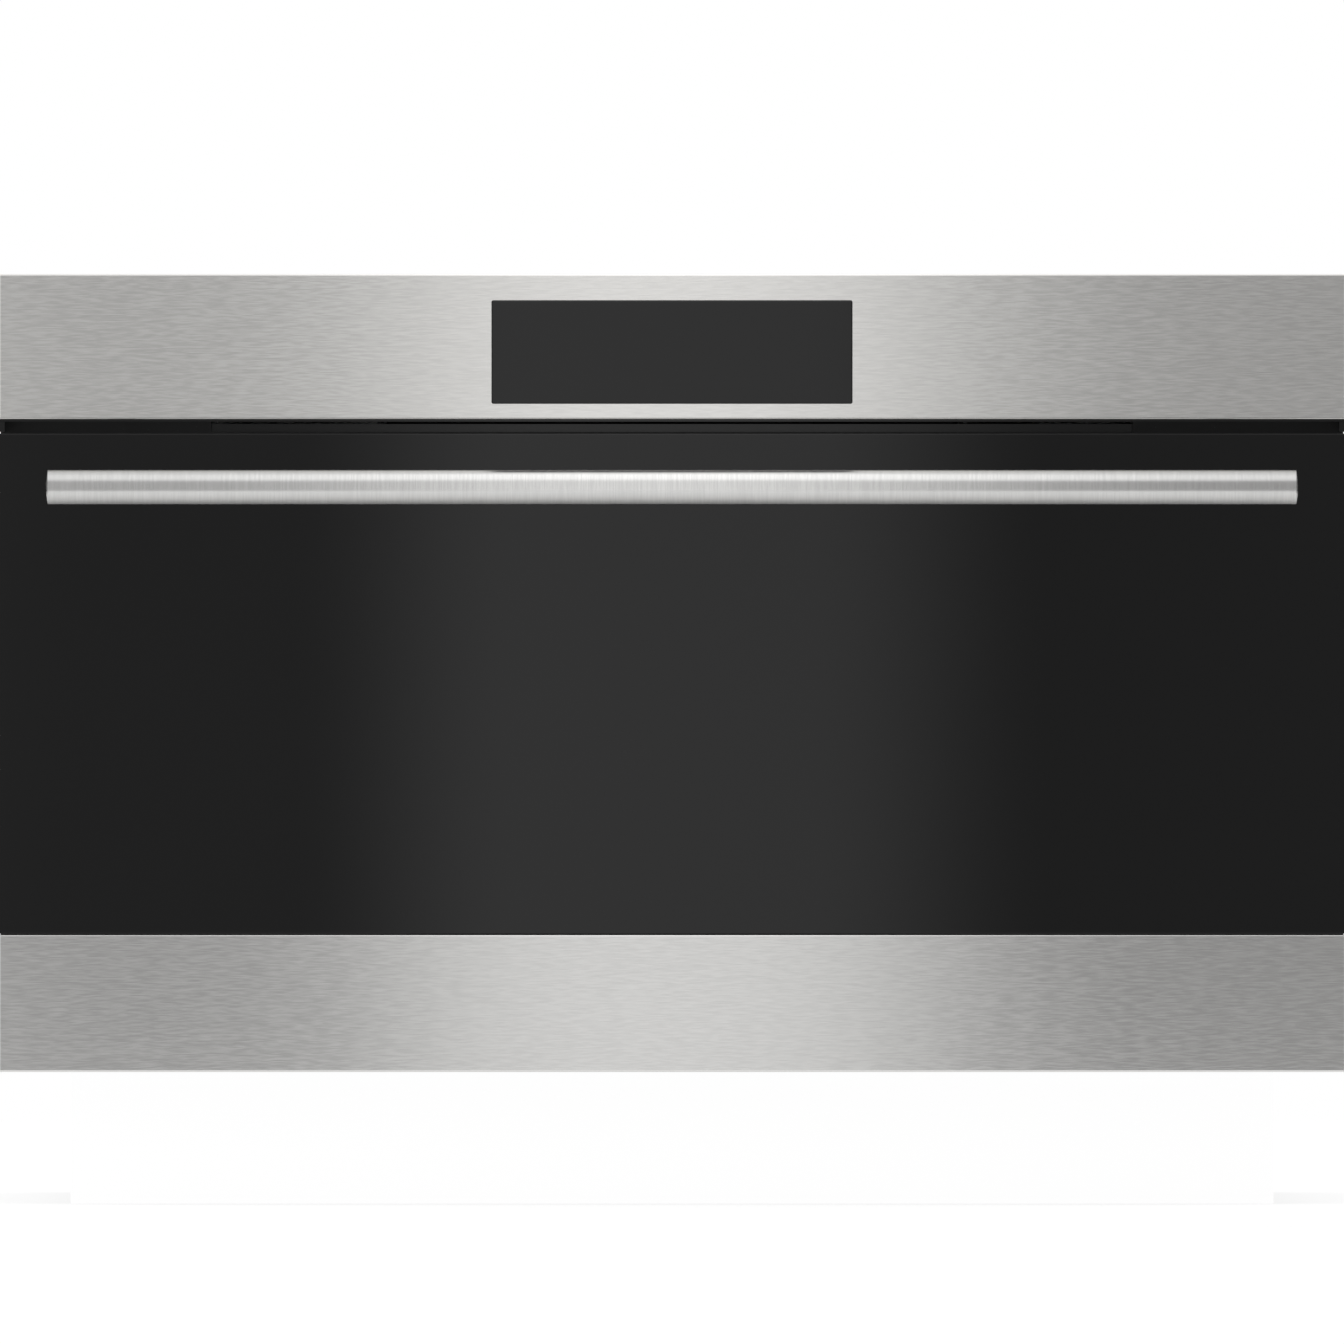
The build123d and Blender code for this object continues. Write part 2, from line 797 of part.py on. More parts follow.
with BuildPart() as hinge_receivers:
    for x in (-hinge_x, hinge_x):
        block(
            x - receiver_inner - shell_t,
            x + receiver_inner + shell_t,
            receiver_y0,
            arm_tip_y,
            shell_t,
            receiver_z1,
        )
        block(
            x - receiver_inner,
            x + receiver_inner,
            receiver_y0,
            arm_tip_y,
            2 * shell_t,
            receiver_z1,
            mode=Mode.SUBTRACT,
        )
        rod_x(
            receiver_pin_y,
            receiver_pin_z,
            x - receiver_inner,
            x + receiver_inner,
            receiver_pin_r,
        )
hinge_receivers.part.label = "hinge_receivers"
export_step(hinge_receivers.part, "parts/hinge_receivers.step")

# Hinge plungers: followers with a round nose, pushed on to the cam by the spring
nose_z = hinge_z + pitch_r
collar_z = guide_z + guide_h + soft_fit
collar_h = 3.0
stem_drop = 3.0

for side, x in (("left", -hinge_x), ("right", hinge_x)):
    with BuildPart() as hinge_plunger:
        rod_z(x, hinge_y, nose_z, case_top_z - stem_drop, nose_r)
        with Locations((x, hinge_y, nose_z)):
            Sphere(nose_r)
        rod_z(x, hinge_y, collar_z, collar_z + collar_h, collar_r)
    hinge_plunger.part.label = f"hinge_plunger_{side}"
    export_step(hinge_plunger.part, f"parts/hinge_plunger_{side}.step")

# Hinge springs: between the plunger's collar and the seat in the case
spring_fit = 0.1
spring_mean_r = (nose_r + collar_r) / 2 + 2 * spring_fit
spring_z0 = collar_z + collar_h + spring_wire / 2 + spring_fit
spring_z1 = seat_z - spring_wire / 2 - spring_fit
spring_pitch = (spring_z1 - spring_z0) / spring_turns

with BuildPart() as hinge_springs:
    for x in (-hinge_x, hinge_x):
        with BuildLine(Plane((x, hinge_y, spring_z0))) as coil:
            Helix(pitch=spring_pitch, height=spring_z1 - spring_z0, radius=spring_mean_r)
        with BuildSketch(Plane(origin=coil.line @ 0, z_dir=coil.line % 0)):
            Circle(spring_wire / 2)
        sweep(path=coil.line, is_frenet=True)
hinge_springs.part.label = "hinge_springs"
export_step(hinge_springs.part, "parts/hinge_springs.step")

# Latch hooks: tongues on the back of the door that work the interlock switches
hook_plate_t = 1.5
hook_plate_x = 9.0
hook_plate_z = 11.0
hook_nose = 2.0

with BuildPart() as latch_hooks:
    for x in (-latch_x, latch_x):
        block(
            x - hook_plate_x,
            x + hook_plate_x,
            door_back,
            door_back + hook_plate_t,
            latch_z - hook_plate_z,
            latch_z + hook_plate_z,
        )
        with BuildSketch(side_plane(x - latch_t / 2)):
            with BuildLine():
                Polyline(
                    (door_back, hook_z0),
                    (latch_reach - 2 * hook_nose, hook_z0),
                    (latch_reach, hook_z0 + hook_nose),
                    (latch_reach, hook_z1),
                    (door_back, hook_z1),
                    close=True,
                )
            make_face()
        extrude(amount=latch_t)
latch_hooks.part.label = "latch_hooks"
export_step(latch_hooks.part, "parts/latch_hooks.step")

# Interlock brackets: angle plates behind the flange that carry the switches
bracket_inner = 7.0
bracket_wide = 12.0
bracket_low = 12.0
bracket_depth = 60.0
bracket_z0 = latch_z - 1.5 * bracket_low
bracket_z1 = latch_z + bracket_low
hook_slot_x = latch_t / 2 + latch_slot_fit
hook_slot_z0 = hook_z0 - latch_slot_fit
hook_slot_z1 = hook_z1 + latch_slot_fit

with BuildPart() as interlock_brackets:
    for x in (-latch_x, latch_x):
        block(x - bracket_wide, x + bracket_wide, 0, shell_t, bracket_z0, bracket_z1)
        block(
            x - hook_slot_x,
            x + hook_slot_x,
            0,
            shell_t,
            hook_slot_z0,
            hook_slot_z1,
            mode=Mode.SUBTRACT,
        )
        block(
            x + bracket_inner,
            x + bracket_inner + shell_t,
            0,
            bracket_depth,
            bracket_z0,
            bracket_z1,
        )
interlock_brackets.part.label = "interlock_brackets"
export_step(interlock_brackets.part, "parts/interlock_brackets.step")

# Interlock switches: one on each bracket, with the bore that guides its button
switch_half = 5.0
switch_height = 18.0
button_y0 = latch_reach + soft_fit
switch_y0 = button_y0 + 2 * button_travel
switch_length = 28.0
button_inside = 12.0
button_y1 = switch_y0 + button_inside

with BuildPart() as interlock_switches:
    for x in (-latch_x, latch_x):
        block(
            x - switch_half,
            x + bracket_inner,
            switch_y0,
            switch_y0 + switch_length,
            latch_z - switch_height / 2,
            latch_z + switch_height / 2,
        )
        rod_y(x, latch_z, switch_y0, button_y1 + running_gap, button_r + running_fit, mode=Mode.SUBTRACT)
interlock_switches.part.label = "interlock_switches"
export_step(interlock_switches.part, "parts/interlock_switches.step")

# Switch plungers: the buttons that the latch hooks hold in
for side, x in (("left", -latch_x), ("right", latch_x)):
    with BuildPart() as switch_plunger:
        rod_y(x, latch_z, button_y0, button_y1, button_r)
    switch_plunger.part.label = f"switch_plunger_{side}"
    export_step(switch_plunger.part, f"parts/switch_plunger_{side}.step")

# Base pan: flat floor of the chassis, with a raised lip along each side
base_lip = 20.0

with BuildPart() as base_pan:
    block(-half_chassis, half_chassis, flange_y, chassis_depth, 0, shell_t)
    for x in (-inner_x, inner_x - shell_t):
        block(x, x + shell_t, 0, rear_y - lip_width, shell_t, base_lip)
base_pan.part.label = "base_pan"
export_step(base_pan.part, "parts/base_pan.step")

# Screw positions of the shells
rear_screw_x = inner_x - lip_width / 2
rear_screw_zs = (chassis_height * 0.14, chassis_height / 2, chassis_height * 0.86)
top_screw_ys = (chassis_depth * 0.1, chassis_depth / 2, chassis_depth * 0.85)
lip_z = side_z1 - shell_t
screw_hole_r = screw_r + running_fit

# Side panels: plates with cooling slots and flanges for the rear panel and the top cover
slot_length = 60.0
slot_width = 5.0
slot_pitch = 14.0
slot_rows = 6
slot_column_pitch = 90.0
side_columns = 2
top_columns = 4
rear_columns = 5
slot_y = chassis_depth * 0.72
slot_z = chassis_height * 0.72

for side, sign in (("left", -1), ("right", 1)):
    with BuildPart() as side_panel:
        outer = sign * half_chassis
        inner = sign * inner_x
        with BuildSketch(side_plane(min(outer, inner))):
            rect(0, chassis_depth, shell_t, side_z1)
            with Locations((slot_y, slot_z)):
                with GridLocations(slot_column_pitch, slot_pitch, side_columns, slot_rows):
                    SlotOverall(slot_length, slot_width, mode=Mode.SUBTRACT)
        extrude(amount=shell_t)
        lip_inner = inner - sign * lip_width
        lip_x0, lip_x1 = min(inner, lip_inner), max(inner, lip_inner)
        block(lip_x0, lip_x1, rear_y - shell_t, rear_y, 2 * shell_t, lip_z)
        block(lip_x0, lip_x1, 2 * shell_t, rear_y, lip_z, side_z1)
        for z in rear_screw_zs:
            rod_y(
                sign * rear_screw_x,
                z,
                rear_y - shell_t,
                rear_y,
                screw_hole_r,
                mode=Mode.SUBTRACT,
            )
        for y in top_screw_ys:
            rod_z(sign * rear_screw_x, y, lip_z, side_z1, screw_hole_r, mode=Mode.SUBTRACT)
    side_panel.part.label = f"side_panel_{side}"
    export_step(side_panel.part, f"parts/side_panel_{side}.step")

# Top cover: plate with a field of cooling slots above the electronics
with BuildPart() as top_cover:
    with BuildSketch(Plane.XY.offset(side_z1)):
        rect(-half_chassis, half_chassis, 0, chassis_depth)
        with Locations((0, blower_y)):
            with GridLocations(slot_column_pitch, slot_pitch, top_columns, slot_rows):
                SlotOverall(slot_length, slot_width, mode=Mode.SUBTRACT)
        for x in (-rear_screw_x, rear_screw_x):
            with Locations(*[(x, y) for y in top_screw_ys]):
                Circle(screw_hole_r, mode=Mode.SUBTRACT)
    extrude(amount=shell_t)
top_cover.part.label = "top_cover"
export_step(top_cover.part, "parts/top_cover.step")

# Rear panel: plate with intake slots and the hole of the supply inlet
gland_inset = 109.0
gland_x = half_chassis - gland_inset
gland_z = 60.0
gland_bore_r = 8.0
gland_outer_r = 12.0
gland_flange_r = 17.0
gland_flange_t = 4.0

with BuildPart() as rear_panel:
    with BuildSketch(front_plane(chassis_depth)):
        rect(-inner_x, inner_x, shell_t, side_z1)
        with Locations((0, slot_z)):
            with GridLocations(slot_column_pitch, slot_pitch, rear_columns, slot_rows):
                SlotOverall(slot_length, slot_width, mode=Mode.SUBTRACT)
        with Locations((gland_x, gland_z)):
            Circle(gland_outer_r, mode=Mode.SUBTRACT)
        for x in (-rear_screw_x, rear_screw_x):
            with Locations(*[(x, z) for z in rear_screw_zs]):
                Circle(screw_hole_r, mode=Mode.SUBTRACT)
    extrude(amount=shell_t)
rear_panel.part.label = "rear_panel"
export_step(rear_panel.part, "parts/rear_panel.step")

# Cord gland: flanged bush in the rear panel for the supply lead
gland_depth = 12.0

with BuildPart() as cord_gland:
    rod_y(gland_x, gland_z, chassis_depth, chassis_depth + gland_flange_t, gland_flange_r)
    rod_y(gland_x, gland_z, rear_y - gland_depth, chassis_depth, gland_outer_r - running_fit)
    rod_y(
        gland_x,
        gland_z,
        rear_y - gland_depth,
        chassis_depth + gland_flange_t,
        gland_bore_r,
        mode=Mode.SUBTRACT,
    )
cord_gland.part.label = "cord_gland"
export_step(cord_gland.part, "parts/cord_gland.step")

# Chassis screws: rear panel and top cover
with BuildPart() as chassis_screws:
    for x in (-rear_screw_x, rear_screw_x):
        for z in rear_screw_zs:
            rod_y(x, z, chassis_depth, chassis_depth + screw_head_h, screw_head_r)
            rod_y(x, z, chassis_depth - screw_length, chassis_depth, screw_r)
        for y in top_screw_ys:
            rod_z(x, y, chassis_height, chassis_height + screw_head_h, screw_head_r)
            rod_z(x, y, chassis_height - screw_length, chassis_height, screw_r)
chassis_screws.part.label = "chassis_screws"
export_step(chassis_screws.part, "parts/chassis_screws.step")

# Front frame: flange on the cabinet's face with the recess that takes the door's plug
arm_slot_half = arm_t / 2 + receiver_gap
arm_slot_z0 = hinge_z - arm_half_height - receiver_gap
arm_slot_z1 = hinge_z + arm_half_height + receiver_gap
outlet_half = duct_half - 2 * duct_t
outlet_z1 = glass_z1 + duct_height - 2 * duct_t
duct_z1 = outlet_z1 + duct_t
duct_z0 = duct_z1 - duct_height
outlet_z0 = max(duct_z0 + duct_t, glass_z1 + duct_t)

with BuildPart() as front_frame:
    with BuildSketch(front_plane(0)):
        rect(-half_flange, half_flange, shell_t, flange_z1)
        rect(-recess_x, recess_x, recess_z0, recess_z1, mode=Mode.SUBTRACT)
        rect(-outlet_half, outlet_half, outlet_z0, fascia_z0 - outlet_t, mode=Mode.SUBTRACT)
        for x in (-hinge_x, hinge_x):
            rect(x - arm_slot_half, x + arm_slot_half, arm_slot_z0, arm_slot_z1, mode=Mode.SUBTRACT)
        for x in (-latch_x, latch_x):
            rect(x - hook_slot_x, x + hook_slot_x, hook_slot_z0, hook_slot_z1, mode=Mode.SUBTRACT)
        for x in (-mount_x, mount_x):
            with Locations((x, mount_low_z), (x, mount_high_z)):
                Circle(mount_hole_r, mode=Mode.SUBTRACT)
    extrude(amount=flange_t)
    with BuildSketch(front_plane(liner_y0)):
        rect(-recess_x - shell_t, recess_x + shell_t, recess_z0 - shell_t, recess_z1 + shell_t)
        rect(-recess_x, recess_x, recess_z0, recess_z1, mode=Mode.SUBTRACT)
    extrude(amount=liner_y0)
front_frame.part.label = "front_frame"
export_step(front_frame.part, "parts/front_frame.step")

# Cavity liner: the oven's inside, with the stirrer pocket and the perforated rear wall
fan_z = cavity_mid
outlet_ring_r = ring_radius
outlet_holes = 40
aperture_r = 20.0
lamp_y = 110.0
lamp_drop = 40.0
lamp_z = cavity_top - lamp_drop
lamp_hole_r = 26.0
grill_x = 150.0
grill_drop = 14.0
grill_z = cavity_top - grill_drop
lead_hole_r = element_r + soft_fit

with BuildPart() as cavity_liner:
    with BuildSketch(front_plane(liner_y0 + liner_t)):
        rect(
            -recess_x - liner_lip,
            recess_x + liner_lip,
            recess_z0 - liner_lip,
            recess_z1 + liner_lip,
        )
    extrude(amount=liner_t)
    with BuildSketch(front_plane(liner_y1 + liner_t)):
        with Locations((0, cavity_mid)):
            RectangleRounded(
                cavity_width + 2 * liner_t,
                cavity_height + 2 * liner_t,
                cavity_corner + liner_t,
            )
    extrude(amount=liner_y1 - liner_y0)
    block(
        -half_pocket - liner_t,
        half_pocket + liner_t,
        stirrer_y - half_pocket - liner_t,
        stirrer_y + half_pocket + liner_t,
        waveguide_z1,
        cavity_floor_z,
    )
    with BuildSketch(front_plane(liner_y1)):
        with Locations((0, cavity_mid)):
            RectangleRounded(cavity_width, cavity_height, cavity_corner)
    extrude(amount=liner_y1 - liner_y0, mode=Mode.SUBTRACT)
    block(
        -half_pocket,
        half_pocket,
        stirrer_y - half_pocket,
        stirrer_y + half_pocket,
        pocket_z,
        cavity_floor_z,
        mode=Mode.SUBTRACT,
    )
    rod_z(0, stirrer_y, waveguide_z1, pocket_z, aperture_r, mode=Mode.SUBTRACT)
    with BuildSketch(front_plane(liner_y1 + liner_t)):
        with Locations((0, fan_z)):
            Circle(vent_hole_r)
            for ring in range(1, vent_rings + 1):
                with PolarLocations(ring * vent_hole_pitch, vent_ring_step * ring):
                    Circle(vent_hole_r)
            with PolarLocations(outlet_ring_r, outlet_holes):
                Circle(vent_hole_r)
        with Locations((-grill_x, grill_z), (grill_x, grill_z)):
            Circle(lead_hole_r)
    extrude(amount=liner_t, mode=Mode.SUBTRACT)
    rod_x(lamp_y, lamp_z, -liner_x, -half_cavity, lamp_hole_r, mode=Mode.SUBTRACT)
cavity_liner.part.label = "cavity_liner"
export_step(cavity_liner.part, "parts/cavity_liner.step")

# Insulation blanket: wool over the top, the sides and the back of the cavity
lamp_housing_rim = 3.0
lamp_housing_r = lamp_hole_r + lamp_housing_rim
chamber_y1 = liner_y1 + liner_t + fan_chamber_depth
blanket_y0 = liner_y0 + liner_t + soft_fit
blanket_inner_x = liner_x + soft_fit
blanket_inner_z = liner_top + soft_fit

with BuildPart() as insulation_blanket:
    block(-blanket_x, blanket_x, blanket_y0, blanket_back, waveguide_z1, blanket_top)
    block(
        -blanket_inner_x,
        blanket_inner_x,
        blanket_y0,
        liner_y1 + liner_t + soft_fit,
        waveguide_z1,
        blanket_inner_z,
        mode=Mode.SUBTRACT,
    )
    block(
        -fan_chamber_half_x - soft_fit,
        fan_chamber_half_x + soft_fit,
        liner_y1,
        blanket_back,
        fan_z - fan_chamber_half - soft_fit,
        fan_z + fan_chamber_half + soft_fit,
        mode=Mode.SUBTRACT,
    )
    rod_x(
        lamp_y,
        lamp_z,
        -blanket_x,
        -blanket_inner_x,
        lamp_housing_r + soft_fit,
        mode=Mode.SUBTRACT,
    )
    for x in (-grill_x, grill_x):
        rod_y(x, grill_z, liner_y1, blanket_back, 2 * element_r, mode=Mode.SUBTRACT)
insulation_blanket.part.label = "insulation_blanket"
export_step(insulation_blanket.part, "parts/insulation_blanket.step")

# Floor glass: glass-ceramic sheet over the stirrer pocket
floor_y0 = liner_y0 + floor_glass_margin
floor_y1 = liner_y1 - floor_glass_margin
floor_top = cavity_floor_z + floor_glass_t

with BuildPart() as floor_glass:
    with BuildSketch(Plane.XY.offset(cavity_floor_z)):
        with Locations((0, (floor_y0 + floor_y1) / 2)):
            RectangleRounded(
                cavity_width - 2 * (cavity_corner + floor_glass_margin / 2),
                floor_y1 - floor_y0,
                cavity_corner,
            )
    extrude(amount=floor_glass_t)
    fillet(floor_glass.faces().sort_by(Axis.Z)[-1].edges(), radius=floor_edge)
floor_glass.part.label = "floor_glass"
export_step(floor_glass.part, "parts/floor_glass.step")

# Rack guides: wire ladders on the side walls, each with three rails
wire_r = 2.5
guide_y0 = 60.0
guide_rear = 56.0
guide_y1 = liner_y1 - guide_rear
guide_lift = 16.0
guide_clearance = 57.0
guide_height = cavity_height - guide_clearance
guide_z0 = floor_top + guide_lift
guide_z1 = guide_z0 + guide_height
guide_inset = 3.5
rail_inset = 14.0
rail_lift = 15.0
rail_pitch = 50.0
rail_count = 3
rail_zs = [guide_z0 + rail_lift + i * rail_pitch for i in range(rail_count)]
peg_r = 4.0
peg_lip = 1.0
link_r = wire_r - 0.4
upright_r = wire_r + 0.4

with BuildPart() as rack_guides:
    ladder_x = half_cavity - guide_inset
    rail_x = half_cavity - rail_inset
    for y in (guide_y0, guide_y1):
        rod_z(-ladder_x, y, guide_z0, guide_z1, upright_r)
        for z in (guide_z0 + 2 * peg_r, guide_z1 - 2 * peg_r):
            rod_x(y, z, -half_cavity, peg_lip - ladder_x, peg_r)
        for z in rail_zs:
            rod_x(y, z, -ladder_x, -rail_x, link_r)
    for z in rail_zs:
        rod_y(-rail_x, z, guide_y0 - 2 * wire_r, guide_y1 + 2 * wire_r, wire_r)
    mirror(about=Plane.YZ)
rack_guides.part.label = "rack_guides"
export_step(rack_guides.part, "parts/rack_guides.step")

# Wire rack: shelf that lies on the middle rails
rack_frame_r = 3.0
rack_wire_r = 1.5
rack_wires = 17
rack_half_x = half_cavity - rail_inset
rack_z = rail_zs[1] + wire_r + rack_frame_r
rack_overhang = 20.0
rack_y0 = guide_y0 - rack_overhang
rack_y1 = guide_y1 + rack_overhang
rack_pitch = 2 * rack_half_x / (rack_wires + 1)
rack_bend = 20.0
rack_brace = (rack_y1 - rack_y0) / 3
rack_wire_lift = 0.8 * rack_wire_r

with BuildPart() as wire_rack:
    with BuildLine(Plane.XY.offset(rack_z)) as rack_outline:
        FilletPolyline(
            (-rack_half_x, rack_y0),
            (rack_half_x, rack_y0),
            (rack_half_x, rack_y1),
            (-rack_half_x, rack_y1),
            radius=rack_bend,
            close=True,
        )
    with BuildSketch(Plane(origin=rack_outline.line @ 0, z_dir=rack_outline.line % 0)):
        Circle(rack_frame_r)
    sweep(path=rack_outline.line)
    for i in range(rack_wires):
        x = -rack_half_x + (i + 1) * rack_pitch
        rod_y(x, rack_z + rack_wire_lift, rack_y0, rack_y1, rack_wire_r)
    for y in (rack_y0 + rack_brace, rack_y1 - rack_brace):
        rod_x(y, rack_z - rack_wire_lift, -rack_half_x, rack_half_x, rack_wire_r)
wire_rack.part.label = "wire_rack"
export_step(wire_rack.part, "parts/wire_rack.step")

# Grill element: one tube in five bends under the ceiling, hung from two straps
grill_runs = 6
grill_pitch = 2 * grill_x / (grill_runs - 1)
grill_front_margin = 50.0
grill_back_margin = 60.0
lead_reach = 8.0
strap_inset = 30.0
grill_y0 = liner_y0 + grill_front_margin
grill_y1 = liner_y1 - grill_back_margin
grill_end = blanket_back + lead_reach
strap_t = 1.5
strap_width = 8.0

with BuildPart() as grill_element:
    with BuildLine(Plane.XY.offset(grill_z)) as grill_path:
        start = (-grill_x, grill_end)
        for i in range(grill_runs):
            x = -grill_x + i * grill_pitch
            going_forward = i % 2 == 0
            last = i == grill_runs - 1
            far = grill_y0 if going_forward else (grill_end if last else grill_y1)
            Line(start, (x, far))
            if not last:
                bulge = -grill_pitch / 2 if going_forward else grill_pitch / 2
                ThreePointArc(
                    (x, far),
                    (x + grill_pitch / 2, far + bulge),
                    (x + grill_pitch, far),
                )
                start = (x + grill_pitch, far)
    with BuildSketch(Plane(origin=(-grill_x, grill_end, grill_z), z_dir=(0, -1, 0))):
        Circle(element_r)
    sweep(path=grill_path.line)
    for y in (grill_y0 + strap_inset, grill_y1 - strap_inset):
        block(
            -grill_x - 2 * element_r,
            grill_x + 2 * element_r,
            y,
            y + strap_width,
            grill_z + element_r - strap_t / 2,
            grill_z + element_r + strap_t / 2,
        )
        for x in (-grill_x / 2, grill_x / 2):
            block(
                x,
                x + strap_width,
                y,
                y + strap_width,
                grill_z + element_r,
                cavity_top,
            )
grill_element.part.label = "grill_element"
export_step(grill_element.part, "parts/grill_element.step")

# Fan housing: pan behind the perforated wall that holds wheel and ring element
chamber_t = 1.0
chamber_y0 = liner_y1 + liner_t
ring_lead_x = 16.0
shaft_hole_r = 8.0

with BuildPart() as fan_housing:
    block(
        -fan_chamber_half_x,
        fan_chamber_half_x,
        chamber_y0,
        chamber_y1,
        fan_z - fan_chamber_half,
        fan_z + fan_chamber_half,
    )
    fillet(fan_housing.edges().filter_by(Axis.Y), radius=cavity_corner)
    block(
        -fan_chamber_half_x + chamber_t,
        fan_chamber_half_x - chamber_t,
        chamber_y0,
        chamber_y1 - chamber_t,
        fan_z - fan_chamber_half + chamber_t,
        fan_z + fan_chamber_half - chamber_t,
        mode=Mode.SUBTRACT,
    )
    rod_y(0, fan_z, chamber_y1 - chamber_t, chamber_y1, shaft_hole_r, mode=Mode.SUBTRACT)
    for x in (-ring_lead_x, ring_lead_x):
        rod_y(
            x,
            fan_z - math.sqrt(ring_radius**2 - ring_lead_x**2),
            chamber_y1 - chamber_t,
            chamber_y1,
            lead_hole_r,
            mode=Mode.SUBTRACT,
        )
fan_housing.part.label = "fan_housing"
export_step(fan_housing.part, "parts/fan_housing.step")

# Ring element: open ring round the fan wheel with two leads through the housing
ring_y = chamber_y0 + fan_chamber_depth / 2
lead_y1 = chamber_y1 + lead_reach
lead_angle = math.degrees(math.asin(ring_lead_x / ring_radius))
lead_z = fan_z - ring_radius * math.cos(math.radians(lead_angle))

with BuildPart() as ring_element:
    with BuildLine(front_plane(ring_y)) as ring_path:
        CenterArc(
            center=(0, fan_z),
            radius=ring_radius,
            start_angle=-90 + lead_angle,
            arc_size=360 - 2 * lead_angle,
        )
    with BuildSketch(Plane(origin=ring_path.line @ 0, z_dir=ring_path.line % 0)):
        Circle(element_r)
    sweep(path=ring_path.line)
    for x in (-ring_lead_x, ring_lead_x):
        with Locations((x, ring_y, lead_z)):
            Sphere(element_r)
        rod_y(x, lead_z, ring_y, lead_y1, element_r)
ring_element.part.label = "ring_element"
export_step(ring_element.part, "parts/ring_element.step")

# Fan wheel: disc with radial blades on its shaft
fan_disc_t = 1.2
fan_back_gap = 8.0
fan_disc_y = chamber_y1 - fan_back_gap
fan_hub_r = 8.0
blade_t = 1.0
fan_eye_r = 24.0
shaft_in_motor = 26.0
fan_shaft_y1 = chamber_y1 + shaft_in_motor

with BuildPart() as fan_wheel:
    rod_y(0, fan_z, fan_disc_y - fan_disc_t, fan_disc_y, fan_wheel_r)
    rod_y(0, fan_z, fan_disc_y - fan_blade_depth, fan_disc_y, fan_hub_r)
    rod_y(0, fan_z, fan_disc_y - fan_blade_depth, fan_shaft_y1, shaft_r)
    with BuildSketch(front_plane(fan_disc_y - fan_disc_t)):
        with Locations((0, fan_z)):
            with PolarLocations((fan_wheel_r + fan_eye_r) / 2, fan_blades):
                Rectangle(fan_wheel_r - fan_eye_r, blade_t)
    extrude(amount=fan_blade_depth - fan_disc_t)
fan_wheel.part.label = "fan_wheel"
export_step(fan_wheel.part, "parts/fan_wheel.step")

# Fan motor: mounting plate on the housing, with the bearing bore of the shaft
motor_plate = 64.0
motor_plate_t = 2.0
motor_r = 27.0
motor_length = 40.0

with BuildPart() as fan_motor:
    block(
        -motor_plate / 2,
        motor_plate / 2,
        chamber_y1,
        chamber_y1 + motor_plate_t,
        fan_z - motor_plate / 2,
        fan_z + motor_plate / 2,
    )
    rod_y(0, fan_z, chamber_y1, chamber_y1 + motor_length, motor_r)
    rod_y(0, fan_z, chamber_y1, fan_shaft_y1 + running_gap, shaft_r + running_fit, mode=Mode.SUBTRACT)
fan_motor.part.label = "fan_motor"
export_step(fan_motor.part, "parts/fan_motor.step")

# Waveguide: rectangular channel from the magnetron to the pocket's aperture
waveguide_x0 = -waveguide_width / 2
waveguide_x1 = magnetron_x + magnetron_width / 2 - waveguide_setback
antenna_hole_r = 2 * antenna_r
half_waveguide = waveguide_width / 2

with BuildPart() as waveguide:
    block(
        waveguide_x0,
        waveguide_x1,
        stirrer_y - half_waveguide,
        stirrer_y + half_waveguide,
        waveguide_z0,
        waveguide_z1,
    )
    block(
        waveguide_x0 + waveguide_t,
        waveguide_x1 - waveguide_t,
        stirrer_y - half_waveguide + waveguide_t,
        stirrer_y + half_waveguide - waveguide_t,
        waveguide_z0 + waveguide_t,
        waveguide_z1 - waveguide_t,
        mode=Mode.SUBTRACT,
    )
    rod_z(0, stirrer_y, waveguide_z0 + waveguide_t, waveguide_z1, aperture_r, mode=Mode.SUBTRACT)
    rod_z(
        magnetron_x,
        stirrer_y,
        waveguide_z1 - waveguide_t,
        waveguide_z1,
        antenna_hole_r,
        mode=Mode.SUBTRACT,
    )
    rod_z(
        0,
        stirrer_y,
        waveguide_z0,
        waveguide_z0 + waveguide_t,
        shaft_r + soft_fit,
        mode=Mode.SUBTRACT,
    )
waveguide.part.label = "waveguide"
export_step(waveguide.part, "parts/waveguide.step")

# Stirrer: slotted turning antenna on a plastic shaft
stirrer_lift = 9.0
stirrer_in_motor = 12.0
stirrer_z = pocket_z + stirrer_lift
stirrer_t = 1.5
stirrer_slot_r = 60.0
stirrer_slots = 3
stirrer_slot_length = 50.0
stirrer_slot_width = 12.0
stirrer_shaft_z0 = waveguide_z0 - stirrer_in_motor

with BuildPart() as stirrer:
    with BuildSketch(Plane.XY.offset(stirrer_z)):
        with Locations((0, stirrer_y)):
            Circle(stirrer_r)
            with PolarLocations(stirrer_slot_r, stirrer_slots):
                SlotOverall(
                    stirrer_slot_length,
                    stirrer_slot_width,
                    rotation=90,
                    mode=Mode.SUBTRACT,
                )
    extrude(amount=stirrer_t)
    rod_z(0, stirrer_y, stirrer_z - stirrer_t, stirrer_z + 2 * stirrer_t, 2 * shaft_r)
    rod_z(0, stirrer_y, stirrer_shaft_z0, stirrer_z, shaft_r)
stirrer.part.label = "stirrer"
export_step(stirrer.part, "parts/stirrer.step")

# Stirrer motor: flat gearmotor under the waveguide
stirrer_motor_r = 24.0
stirrer_motor_h = 20.0

with BuildPart() as stirrer_motor:
    rod_z(0, stirrer_y, waveguide_z0 - stirrer_motor_h, waveguide_z0, stirrer_motor_r)
    rod_z(
        0,
        stirrer_y,
        stirrer_shaft_z0 - running_gap,
        waveguide_z0,
        shaft_r + running_fit,
        mode=Mode.SUBTRACT,
    )
stirrer_motor.part.label = "stirrer_motor"
export_step(stirrer_motor.part, "parts/stirrer_motor.step")

